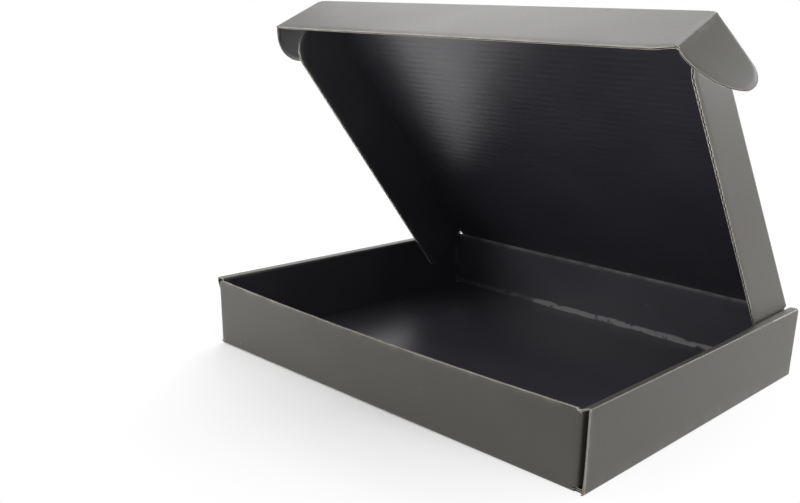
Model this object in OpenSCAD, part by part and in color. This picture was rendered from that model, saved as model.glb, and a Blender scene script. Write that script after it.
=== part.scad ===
// Corrugated mailer box: one die-cut sheet folded into a tray with rolled double sides,
// a hinged lid, two dust flaps, a tuck front and its two rounded ears.
// Millimetres, +Z up, origin at the centre of the underside, front wall towards -Y.

/* [Box] */
// outer width, along the front wall
box_w = 418; // [300:1:520]
// outer depth, front wall to back wall
box_d = 320; // [240:1:400]
// height of the rolled side walls
box_h = 64; // [48:1:90]
// how far the front wall's cut edge stays below the rolled sides
front_drop = 3; // [1:0.5:6]

/* [Board] */
// thickness of the corrugated board
board = 3; // [2.4:0.1:3.4]
// how much a fold or a squeezed layer crushes the board
crush = 0.3; // [0.2:0.05:0.4]
// distance from one flute to the next
flute_pitch = 6.1; // [5.5:0.1:6.8]
// thickness of one liner sheet
liner = 0.45; // [0.3:0.05:0.6]
// thickness of the fluted sheet
medium = 0.5; // [0.3:0.05:0.6]

/* [Rest pose] */
// lid angle, 0 is shut and 180 is laid flat behind the tray
lid_open = 51; // [20:1:170]
// fold of the tuck front, 0 is in line with the lid
tuck_fold = 76; // [40:1:90]
// fold of the left ear, 0 is in line with the tuck front
left_ear_fold = 62; // [20:1:90]
// fold of the right ear, 0 is in line with the tuck front
right_ear_fold = 47; // [20:1:90]

/* [Lid] */
// reach of the tuck front past its crease
tuck_reach = 56; // [40:1:58]
// how far the tuck front's ends stay inside the outer side faces
tuck_inset = 5; // [4:0.5:8]
// height of the left dust flap at its rear end
left_dust_rear_h = 56; // [40:1:57]
// height of the left dust flap at its front end
left_dust_front_h = 53; // [36:1:57]
// height of the right dust flap at its rear end
right_dust_rear_h = 50; // [40:1:57]
// height of the right dust flap at its front end
right_dust_front_h = 36; // [30:1:57]
// radius of a dust flap's front corner
dust_front_r = 22; // [8:1:26]
// radius of a dust flap's rear corner
dust_rear_r = 6; // [3:1:12]
// room between a dust flap and the side wall beside it
dust_room = 0.7; // [0.5:0.1:1.5]

/* [Ears] */
// reach of an ear past its crease
ear_reach = 51; // [40:1:58]
// radius of an ear's tip
ear_tip_r = 14.5; // [10:0.5:18]
// height of the tip's centre below the lid crease
ear_tip_v = 24.5; // [20:0.5:30]
// slope of an ear's upper edge
ear_top_slope = 11.5; // [4:0.5:16]
// radius of an ear's bowed lower edge
ear_low_r = 50; // [42:1:80]
// radius where the lower edge meets the crease
ear_root_r = 8; // [5:0.5:10]

/* [Sides] */
// length of the corner flaps held inside the side walls
corner_flap = 76; // [40:1:110]
// outer radius of the fold at the ends of the front and back walls
corner_r = 4; // [3.5:0.25:5]
// length of a lock tab
tab_len = 40; // [24:1:60]
// distance of the lock tabs from the middle of the side
tab_at = 82; // [60:1:100]
// room around a lock tab in its slot
tab_room = 0.4; // [0.3:0.05:0.6]

/* [Hidden] */
$fn = 64;
half_w = box_w / 2;
half_d = box_d / 2;
// gap of a crease between its bead and the panel that carries it
crease_gap = 0.3;
bead_r = board / 2;
carry = bead_r + crease_gap;
// a squeezed layer inside a side wall
thin = board - crush;
roll_r = 1.5 * board;
roll_z = box_h - roll_r;
inner_x = half_w - 3 * board;
flap_out_x = half_w - board - crush / 2;
corner_x = flap_out_x - corner_r;
corner_y = half_d - corner_r;
roll_half = corner_y - crease_gap;
front_z = box_h - front_drop;
// top of the folds and flaps that pass below the roll
under_roll = roll_z - crease_gap;
fold_base = board + 1;
slot_w = board + 2 * tab_room;

hinge_y = half_d - bead_r;
hinge_z = box_h - board / 2 - 0.5;
lid_len = box_d - 2 * board - 0.5;
dust_axis_x = inner_x - dust_room - board;
lid_half = dust_axis_x - crease_gap;
ear_axis_x = half_w - tuck_inset - bead_r;
tuck_half = ear_axis_x - carry;

dust_rear = 5;
dust_front = lid_len - 5;
dust_solid = 6;
ear_solid = 5;
ear_start = 1.5;
ear_edge = 1;

// outline of an ear: w runs out from the crease, v runs down from the lid crease
tip = [ear_reach - ear_tip_r, ear_tip_v];
top_n = [sin(ear_top_slope), -cos(ear_top_slope)];
tip_top = tip + ear_tip_r * top_n;
root_top_v = max(ear_start, tip_top[1] - tip_top[0] * tan(ear_top_slope));
root_v = tuck_reach - ear_root_r - ear_edge;
root_c = [ear_root_r, root_v];
// centre of the lower edge, whose circle touches the tip's and the root's from outside
tip_to_root = norm(root_c - tip);
root_way = (root_c - tip) / tip_to_root;
low_tip = ear_low_r - ear_tip_r;
low_root = ear_low_r - ear_root_r;
low_along = (low_tip * low_tip - low_root * low_root + tip_to_root * tip_to_root) / (2 * tip_to_root);
low_aside = sqrt(max(0, low_tip * low_tip - low_along * low_along));
low_c = tip + low_along * root_way + low_aside * [-root_way[1], root_way[0]];
tip_low = low_c + ear_low_r * (tip - low_c) / norm(tip - low_c);
root_low = low_c + ear_low_r * (root_c - low_c) / norm(root_c - low_c);

paper_black = [0.13, 0.13, 0.135];
paper_side = [0.16, 0.16, 0.16];

// puts a shape of the flat lid where the lid stands
module on_lid() {
    translate([0, hinge_y, hinge_z]) rotate([-lid_open, 0, 0]) children();
}

// puts a shape of the flat tuck front where the tuck front stands
module on_tuck() {
    on_lid() translate([0, -lid_len, 0]) rotate([tuck_fold, 0, 0]) children();
}

// round bead of a crease along X
module bead_x(half) {
    translate([-half, 0, 0]) rotate([0, 90, 0]) cylinder(r = bead_r, h = 2 * half);
}

// quarter of a tube about Z between the -Y and the +X direction
module corner_fold(z0, z1) {
    translate([0, 0, z0])
        rotate([0, 0, -90])
            rotate_extrude(angle = 90)
                translate([corner_r - thin, 0]) square([thin, z1 - z0]);
}

// corner where the front or back wall turns into the flap held inside the right side wall
module corner_layer(z1) {
    translate([corner_x, -corner_y, 0]) corner_fold(fold_base, z1);
    translate([flap_out_x - thin, -corner_y, fold_base]) cube([thin, corner_flap, z1 - fold_base]);
}

// front or back wall with its bottom fold and both corner flaps, drawn at the front
module end_wall(z1) {
    translate([-corner_x, -half_d, board]) cube([2 * corner_x, board, z1 - board]);
    intersection() {
        translate([-corner_x, -half_d + board, board])
            rotate([0, 90, 0]) cylinder(r = board, h = 2 * corner_x);
        translate([-corner_x, -half_d, 0]) cube([2 * corner_x, board, board]);
    }
    for (s = [0, 1]) mirror([s, 0, 0]) corner_layer(min(z1, under_roll));
}

// right side wall: outer panel, bottom fold, rolled top, inner panel and its lock tabs
module side_wall() {
    translate([half_w - board, -half_d, board]) cube([board, box_d, roll_z - board]);
    intersection() {
        translate([half_w - board, -half_d, board]) rotate([-90, 0, 0]) cylinder(r = board, h = box_d);
        translate([half_w - board, -half_d, 0]) cube([board, box_d, board]);
    }
    difference() {
        translate([half_w - roll_r, -roll_half, roll_z])
            rotate([-90, 0, 0]) cylinder(r = roll_r, h = 2 * roll_half);
        translate([half_w - roll_r, -half_d, roll_z])
            rotate([-90, 0, 0]) cylinder(r = roll_r - board, h = box_d);
        translate([inner_x - 1, -half_d, roll_z - 2 * roll_r]) cube([2 * roll_r + 2, box_d, 2 * roll_r]);
    }
    translate([inner_x, -roll_half, board]) cube([board, 2 * roll_half, roll_z - board]);
    for (y = [-tab_at, tab_at])
        translate([inner_x, y - tab_len / 2, tab_room]) cube([board, tab_len, board - tab_room]);
}

// floor sheet with the slots that the lock tabs drop into
module floor_sheet() {
    difference() {
        translate([-half_w + board, -half_d + board, 0])
            cube([box_w - 2 * board, box_d - 2 * board, board]);
        for (s = [-1, 1], y = [-tab_at, tab_at])
            translate([s * (inner_x + board / 2) - slot_w / 2, y - tab_len / 2 - tab_room, -1])
                cube([slot_w, tab_len + 2 * tab_room, board + 2]);
    }
}

// fluted board, flutes along +X, laid from y0 to y1 with its faces at z0 and z0 + board
module fluted(x0, x1, y0, y1, z0) {
    core = board - 2 * liner;
    wide = (flute_pitch - 1.5) / 2;
    deep = core - medium;
    slim = max(0.3, wide - deep * 1.06);
    count = floor((y1 - y0) / flute_pitch);
    margin = ((y1 - y0) - count * flute_pitch) / 2;
    translate([x0, y0, z0]) rotate([90, 0, 90]) linear_extrude(x1 - x0) difference() {
        square([y1 - y0, board]);
        for (i = [0 : count - 1]) {
            translate([margin + (i + 0.27) * flute_pitch, board - liner])
                polygon([[-wide, 0], [wide, 0], [slim, -deep], [-slim, -deep]]);
            translate([margin + (i + 0.77) * flute_pitch, liner])
                polygon([[-wide, 0], [wide, 0], [slim, deep], [-slim, deep]]);
        }
    }
}

// outline of a dust flap, x up from its crease and y along the lid, its free edge running
// straight from the rear height to the front height and rounded into both ends
module dust_outline(rear_h, front_h) {
    lean = (rear_h - front_h) / (dust_front - dust_rear);
    unit = sqrt(1 + lean * lean);
    out = [1, -lean] / unit;
    front_y = dust_front_r - dust_front;
    rear_y = -dust_rear - dust_rear_r;
    front_c = [front_h + lean * dust_front_r - dust_front_r * unit, front_y];
    rear_c = [front_h + lean * (rear_y + dust_front) - dust_rear_r * unit, rear_y];
    polygon([
        [0, -dust_rear], [rear_c[0], -dust_rear], rear_c + dust_rear_r * out,
        front_c + dust_front_r * out, [front_c[0], -dust_front], [0, -dust_front]
    ]);
    translate(rear_c) circle(r = dust_rear_r);
    translate(front_c) circle(r = dust_front_r);
}

// right-hand dust flap lying flat, inner face on z = 0 and its crease on the Y axis
module dust_flat(rear_h, front_h) {
    reach = max(rear_h, front_h);
    intersection() {
        union() {
            translate([0, -dust_front, 0]) cube([dust_solid, dust_front - dust_rear, board]);
            fluted(dust_solid, reach, -dust_front, -dust_rear, 0);
        }
        translate([0, 0, -1]) linear_extrude(board + 2) dust_outline(rear_h, front_h);
    }
    intersection() {
        translate([0, -dust_front, 0]) rotate([-90, 0, 0]) cylinder(r = board, h = dust_front - dust_rear);
        translate([-board, -dust_front, 0]) cube([board, dust_front - dust_rear, board]);
    }
}

// outline of the right ear, x out from its crease and y towards the lid crease
module ear_outline() {
    mirror([0, 1]) {
        polygon([[0, root_top_v], tip_top, tip, tip_low, root_low, root_c, [0, root_v]]);
        translate(tip) circle(r = ear_tip_r);
        translate(root_c) circle(r = ear_root_r);
        intersection() {
            translate(low_c) circle(r = ear_low_r);
            polygon([tip_low, tip_low + [ear_tip_r, ear_reach], root_low + [0, ear_reach], root_low]);
        }
    }
}

// right ear lying flat in the plane of the tuck front, crease on the Y axis
module ear_flat() {
    intersection() {
        union() {
            translate([0, -tuck_reach, -bead_r]) cube([ear_solid, tuck_reach, board]);
            fluted(ear_solid, ear_reach, -tuck_reach, 0, -bead_r);
        }
        translate([0, 0, -board]) linear_extrude(2 * board) ear_outline();
    }
    translate([0, -root_v, 0]) rotate([-90, 0, 0]) cylinder(r = bead_r, h = root_v - root_top_v);
}

module tray() {
    color(paper_side) {
        floor_sheet();
        end_wall(front_z);
        mirror([0, 1, 0]) end_wall(hinge_z - carry);
        for (s = [0, 1]) mirror([s, 0, 0]) side_wall();
    }
}

module lid() {
    color(paper_black) on_lid() {
        translate([-lid_half, carry - lid_len, -bead_r]) cube([2 * lid_half, lid_len - carry, board]);
        bead_x(lid_half);
    }
}

module tuck_front() {
    color(paper_side) on_tuck() {
        translate([-tuck_half, -tuck_reach, -bead_r]) cube([2 * tuck_half, tuck_reach, board]);
        bead_x(tuck_half);
    }
}

module left_ear() {
    color(paper_side) on_tuck() mirror([1, 0, 0])
        translate([ear_axis_x, 0, 0]) rotate([0, left_ear_fold, 0]) ear_flat();
}

module right_ear() {
    color(paper_side) on_tuck()
        translate([ear_axis_x, 0, 0]) rotate([0, right_ear_fold, 0]) ear_flat();
}

module left_dust_flap() {
    color(paper_black) on_lid() mirror([1, 0, 0])
        translate([dust_axis_x, 0, -bead_r]) rotate([0, 90, 0])
            dust_flat(left_dust_rear_h, left_dust_front_h);
}

module right_dust_flap() {
    color(paper_black) on_lid()
        translate([dust_axis_x, 0, -bead_r]) rotate([0, 90, 0])
            dust_flat(right_dust_rear_h, right_dust_front_h);
}

tray();
lid();
tuck_front();
left_ear();
right_ear();
left_dust_flap();
right_dust_flap();
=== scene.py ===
"""Black corrugated mailer box, standing open: rolled tray, lid, dust flaps, tuck front and ears.

Every panel is a sheet of fluted board worked out in millimetres in the box's own frame: an outer and an
inner paper face over one grid, and cut edges that show the two liners and the waved sheet between them.

In every class of panels, fields that end in wear and crush say how rubbing and pressing die away from an edge
or a fold, and plain_from and plain_over say where the liners' washboard sets in past it. Sizes are in
millimetres and angles in degrees where nothing else is said.
"""

import logging
import math
from dataclasses import dataclass, field
from enum import Enum
from functools import partial
from typing import Callable

import bpy
import numpy as np
from mathutils import Euler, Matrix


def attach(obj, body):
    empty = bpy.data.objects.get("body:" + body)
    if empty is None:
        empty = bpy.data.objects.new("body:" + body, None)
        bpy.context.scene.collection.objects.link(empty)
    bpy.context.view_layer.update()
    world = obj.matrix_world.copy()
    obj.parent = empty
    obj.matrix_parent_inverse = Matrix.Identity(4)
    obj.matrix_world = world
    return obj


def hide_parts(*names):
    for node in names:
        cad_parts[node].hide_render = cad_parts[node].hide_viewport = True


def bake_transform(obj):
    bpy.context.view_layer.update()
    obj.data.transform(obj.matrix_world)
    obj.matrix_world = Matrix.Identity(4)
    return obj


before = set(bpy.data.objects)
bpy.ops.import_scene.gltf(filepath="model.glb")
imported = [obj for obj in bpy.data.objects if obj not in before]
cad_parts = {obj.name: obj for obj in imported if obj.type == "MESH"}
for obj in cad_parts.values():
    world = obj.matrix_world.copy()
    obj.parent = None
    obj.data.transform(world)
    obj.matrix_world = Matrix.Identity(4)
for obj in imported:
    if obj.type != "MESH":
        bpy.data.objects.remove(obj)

Array = np.ndarray
Colour = tuple[float, float, float]
Point = tuple[float, float, float]
Pair = tuple[float, float]
Socket = bpy.types.NodeSocket
Placement = Callable[[Array, Array, Array], Array]

LOG = logging.getLogger("mailer_box")
MM = 0.001
QUARTER = 0.5 * math.pi

# Meshing: weld cells per millimetre, a shift that keeps round coordinates off their borders, and the
# angle in degrees past which an edge stays sharp.
WELD_CELLS = 5000.0
WELD_SHIFT = 0.31713
SHARP_ANGLE = 34.0

# Small numbers: lengths that count as equal, a divisor that is never zero, and what settles a sign at zero.
SAME = 1e-6
TINY = 1e-9
TIE = 1e-12

# Steps in millimetres that tell which way an edge and a face look.
PROBE_STEP = 0.2
PROBE_LIFT = 0.5

# Grids of flaps and beads: rows from crease to outline, steps round a bead, and its overlap into the flap.
FAN_ROWS = 19
BEAD_STEPS = 9
BEAD_OVER = 0.5

# Flutes that one radian of a bottom fold counts for on the flat sheet.
FOLD_FLUTES = 50.0


class Paper(Enum):
    """Surfaces of the board; the value is the material's index on a piece."""

    OUTSIDE = 0
    INSIDE = 1
    LINER = 2
    FLUTE = 3
    TRAY = 4


class Cut(Enum):
    """How the board is cut at an edge."""

    OPEN_FLUTES = "across the flutes"
    GROOVE = "along the flutes"
    PLAIN = "closed or hidden"


class Rim(Enum):
    """The four rims of a grid of rows and columns."""

    FIRST_ROW = "first row"
    LAST_ROW = "last row"
    FIRST_COLUMN = "first column"
    LAST_COLUMN = "last column"


class Hand(Enum):
    """Which side of the box a mirrored piece is on; the value is the sign of x."""

    LEFT = -1
    RIGHT = 1

    @property
    def word(self) -> str:
        """The side as it stands in the names of pieces and bodies."""
        return self.name.lower()


class End(Enum):
    """Which end of the tray a wall is on; the value is the sign of y."""

    FRONT = -1
    BACK = 1


ALL_PLAIN = {rim: Cut.PLAIN for rim in Rim}
BEAD_CUTS = {rim: Cut.PLAIN for rim in Rim if rim is not Rim.FIRST_ROW}
FAN_CUTS = {Rim.FIRST_ROW: Cut.PLAIN, Rim.LAST_ROW: Cut.OPEN_FLUTES}


def smooth(value: Array | float) -> Array:
    """Eases a value from 0 to 1 with the cubic 3t^2 - 2t^3, held outside that range."""
    t = np.clip(value, 0.0, 1.0)
    return t * t * (3.0 - 2.0 * t)


def mirrored(half: Array) -> Array:
    """Stations on both sides of the middle, from the half that starts there with 0."""
    return np.concatenate([-half[:0:-1], half])


def resample(points: Array, step: float) -> Array:
    """Walks along a polyline and sets points at an even spacing.

    The length so far is summed over the corners and each coordinate is interpolated over it.

    Args:
        points: Corners of the line, one row each.
        step: Wanted spacing in millimetres.

    Returns:
        Evenly spaced points, one row each, with both ends kept.
    """
    length = np.concatenate([[0.0], np.cumsum(np.linalg.norm(np.diff(points, axis=0), axis=1))])
    walk = np.linspace(0.0, length[-1], max(2, int(round(length[-1] / step)) + 1))
    return np.stack([np.interp(walk, length, points[:, k]) for k in range(points.shape[1])], axis=1)


def arc(centre: Pair, radius: float, start: float, end: float, count: int) -> Array:
    """Points of a circle's arc: centre plus radius times (cos, sin) of an even run of angles in degrees."""
    angle = np.radians(np.linspace(start, end, count))
    return np.stack([centre[0] + radius * np.cos(angle), centre[1] + radius * np.sin(angle)], axis=1)


def grid_quads(rows: int, columns: int) -> Array:
    """Four corner indices of each cell of a grid whose points are numbered row by row."""
    index = np.arange(rows * columns).reshape(rows, columns)
    return np.stack([index[:-1, :-1], index[1:, :-1], index[1:, 1:], index[:-1, 1:]], axis=-1)


def sorted_cells(quads: Array) -> tuple[Array, Array, Array, Array]:
    """Sorts welded cells: four corners stay a quad, one doubled corner gives a triangle, others are left out.

    Args:
        quads: Corner indices of each cell.

    Returns:
        The quads, the triangles, and the mask of the cells that each of them came from.
    """
    a, b, c, d = quads.T
    crossed = (a == c) | (b == d)
    ab, bc, cd, da = a == b, b == c, c == d, d == a
    doubles = ab.astype(int) + bc + cd + da
    whole = (doubles == 0) & ~crossed
    single = (doubles == 1) & ~crossed
    second = np.where(ab, c, b)
    third = np.where(ab | bc, d, c)
    triangles = np.stack([a, second, third], axis=1)[single]
    return quads[whole], triangles, whole, single


def bead_steps(radius: float, count: int) -> Array:
    """Stations from a bead's round end to its middle: minus radius times cos of an even quarter turn."""
    return -radius * np.cos(np.linspace(0.0, QUARTER, count))


def bead_half(radius: float, out: Array) -> Array:
    """Half height of a bead: the root of radius squared less the squared distance from its middle."""
    return np.sqrt(np.maximum(radius ** 2 - out ** 2, 0.0))


def bead_grid(radius: float, run: Pair) -> tuple[Array, Array]:
    """Grid of a bead from its round end to just past the crease line.

    Args:
        radius: Radius of the bead.
        run: Where the crease starts and ends.

    Returns:
        Distance out from the crease and length along it, over the grid.
    """
    out = np.concatenate([bead_steps(radius, BEAD_STEPS), [BEAD_OVER]])
    out, run = np.meshgrid(out, np.array(run), indexing="ij")
    return out, run


def fan(start: float, run: Pair, rim: Array) -> tuple[Array, Array]:
    """Grid of a flap between its crease line and its outline.

    The points of a row slide from even places on the crease to the outline's points, by a share that grows
    with 1 - (1 - t)^2, so that the rows lie closer towards the outline.

    Args:
        start: Where the grid begins, out from the crease.
        run: Where the crease starts and ends.
        rim: Outline, one row per point.

    Returns:
        Points on the flat flap over the grid, and their distance from the outline.
    """
    rows = 1.0 - (1.0 - np.linspace(0.0, 1.0, FAN_ROWS)) ** 2.0
    crease = np.stack([np.full(len(rim), start), np.linspace(*run, len(rim))], axis=1)
    grid = crease[None] + rows[:, None, None] * (rim - crease)[None]
    length = np.linalg.norm(rim - crease, axis=1)
    return grid, (1.0 - rows)[:, None] * length[None]


@dataclass(frozen=True)
class Falloff:
    """An amount of wear or pressing that dies away from a line.

    Attributes:
        amount: Amount on the line.
        width: Distance over which it dies away.
    """

    amount: float
    width: float

    def fade(self, distance: Array) -> Array:
        """Sharp at the line: amount times e to the power of minus distance over width."""
        return self.amount * np.exp(-distance / self.width)

    def bell(self, distance: Array) -> Array:
        """Round at the line: amount times e to the power of minus the square of distance over width."""
        return self.amount * np.exp(-(distance / self.width) ** 2)


@dataclass(frozen=True)
class Board:
    """Three-layer corrugated board, sizes in millimetres.

    Attributes:
        thickness, pitch: Thickness of the whole board, and distance from one flute to the next.
        liner, medium: Thickness of each liner and of the waved sheet at a cut.
        clear: Room between the waved sheet's tips and the liners.
        washboard: How far the liners sink between two flute tips.
        flute_depth, groove_depth: How far in a cut across and a cut along the flutes is open.
        closing: Length over which the openings close towards the end of an edge.
        crossing_from, crossing_over: Share of an edge's normal along the flutes from which they open, and the
            further share over which they open fully.
    """

    thickness: float = 3.0
    pitch: float = 6.1
    liner: float = 0.34
    medium: float = 0.4
    clear: float = 0.04
    washboard: float = 0.022
    flute_depth: float = 9.0
    groove_depth: float = 1.1
    closing: float = 2.5
    crossing_from: float = 0.14
    crossing_over: float = 0.2

    @property
    def half(self) -> float:
        """Half of the board's thickness."""
        return self.thickness / 2.0

    def wave(self, across: Array) -> Array:
        """Height of the waved sheet as a cosine of the distance across the flutes, from -1 to 1."""
        return np.cos(2.0 * np.pi * across / self.pitch)

    def crushed(self, least: float, press: Array) -> Array:
        """Half thickness of pressed board: its own where press is 0, and the least where it is 1."""
        return self.half - (self.half - least) * press


@dataclass
class Patch:
    """One grid of points with its paper, its place on the flat sheet and its wear.

    Attributes:
        points: Grid of points in millimetres, rows by columns by 3.
        paper: Material index of each cell.
        flat: Distance along and across the flutes at each point.
        rub_and_highlight: Wear at each point, with the painted highlight on the back wall, from 0 to 1.
        outward: Rough outward direction of each cell, or zero where it isn't known.
        keep: Cells that stay, or None for all.
    """

    points: Array
    paper: Array
    flat: Array
    rub_and_highlight: Array
    outward: Array
    keep: Array | None = None

    def cells(self, start: int) -> tuple[Array, Array]:
        """Quads of the grid, turned so that they face outwards.

        Args:
            start: Index of the patch's first vertex.

        Returns:
            Corner indices of each quad, and its material index.
        """
        quads = start + grid_quads(*self.points.shape[:2])
        p = self.points
        normal = np.cross(p[1:, 1:] - p[:-1, :-1], p[:-1, 1:] - p[1:, :-1])
        if float(np.sum(normal * self.outward)) < 0.0:
            quads = quads[..., ::-1]
        mask = np.ones(self.paper.shape, bool) if self.keep is None else self.keep
        return quads[mask], self.paper[mask]


class Sheetwork:
    """Gathers the patches of one piece and makes its mesh."""

    def __init__(self, name: str) -> None:
        """Starts an empty piece of that name."""
        self.name = name
        self.patches: list[Patch] = []

    def add(self, patches: list[Patch]) -> None:
        """Adds patches to the piece."""
        self.patches.extend(patches)

    def mesh(self) -> bpy.types.Mesh:
        """Joins the patches, welds points that meet, and writes one mesh with its attributes.

        Returns:
            The mesh, in metres, smooth but for its cut edges.
        """
        points = np.concatenate([p.points.reshape(-1, 3) for p in self.patches])
        flat = np.concatenate([p.flat.reshape(-1, 2) for p in self.patches])
        rub_and_highlight = np.concatenate([p.rub_and_highlight.ravel() for p in self.patches])
        starts = np.concatenate([[0], np.cumsum([p.rub_and_highlight.size for p in self.patches])])
        made = [p.cells(int(s)) for p, s in zip(self.patches, starts)]
        cells = np.concatenate([q for q, _ in made])
        paper = np.concatenate([m for _, m in made])
        key = np.round(points * WELD_CELLS + WELD_SHIFT).astype(np.int64)
        _, first, back = np.unique(key, axis=0, return_index=True, return_inverse=True)
        quads, triangles, whole, single = sorted_cells(back.reshape(-1)[cells])
        corners = np.concatenate([quads.ravel(), triangles.ravel()])
        begin = np.concatenate([4 * np.arange(len(quads)), 4 * len(quads) + 3 * np.arange(len(triangles))])
        paper = np.concatenate([paper[whole], paper[single]])
        mesh = bpy.data.meshes.new(self.name)
        mesh.vertices.add(len(first))
        mesh.vertices.foreach_set("co", (points[first] * MM).astype(np.float32).ravel())
        mesh.loops.add(len(corners))
        mesh.loops.foreach_set("vertex_index", corners.astype(np.int32))
        mesh.polygons.add(len(begin))
        mesh.polygons.foreach_set("loop_start", begin.astype(np.int32))
        mesh.polygons.foreach_set("material_index", paper.astype(np.int32))
        mesh.polygons.foreach_set("use_smooth", np.ones(len(begin), bool))
        spread = mesh.attributes.new("flat", "FLOAT_VECTOR", "POINT")
        sheet = np.concatenate([flat[first] * MM, np.zeros((len(first), 1))], axis=1)
        spread.data.foreach_set("vector", sheet.astype(np.float32).ravel())
        wear = mesh.attributes.new("rub_and_highlight", "FLOAT", "POINT")
        wear.data.foreach_set("value", rub_and_highlight[first].astype(np.float32))
        mesh.update(calc_edges=True)
        mesh.validate()
        mesh.set_sharp_from_angle(angle=math.radians(SHARP_ANGLE))
        return mesh


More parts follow.
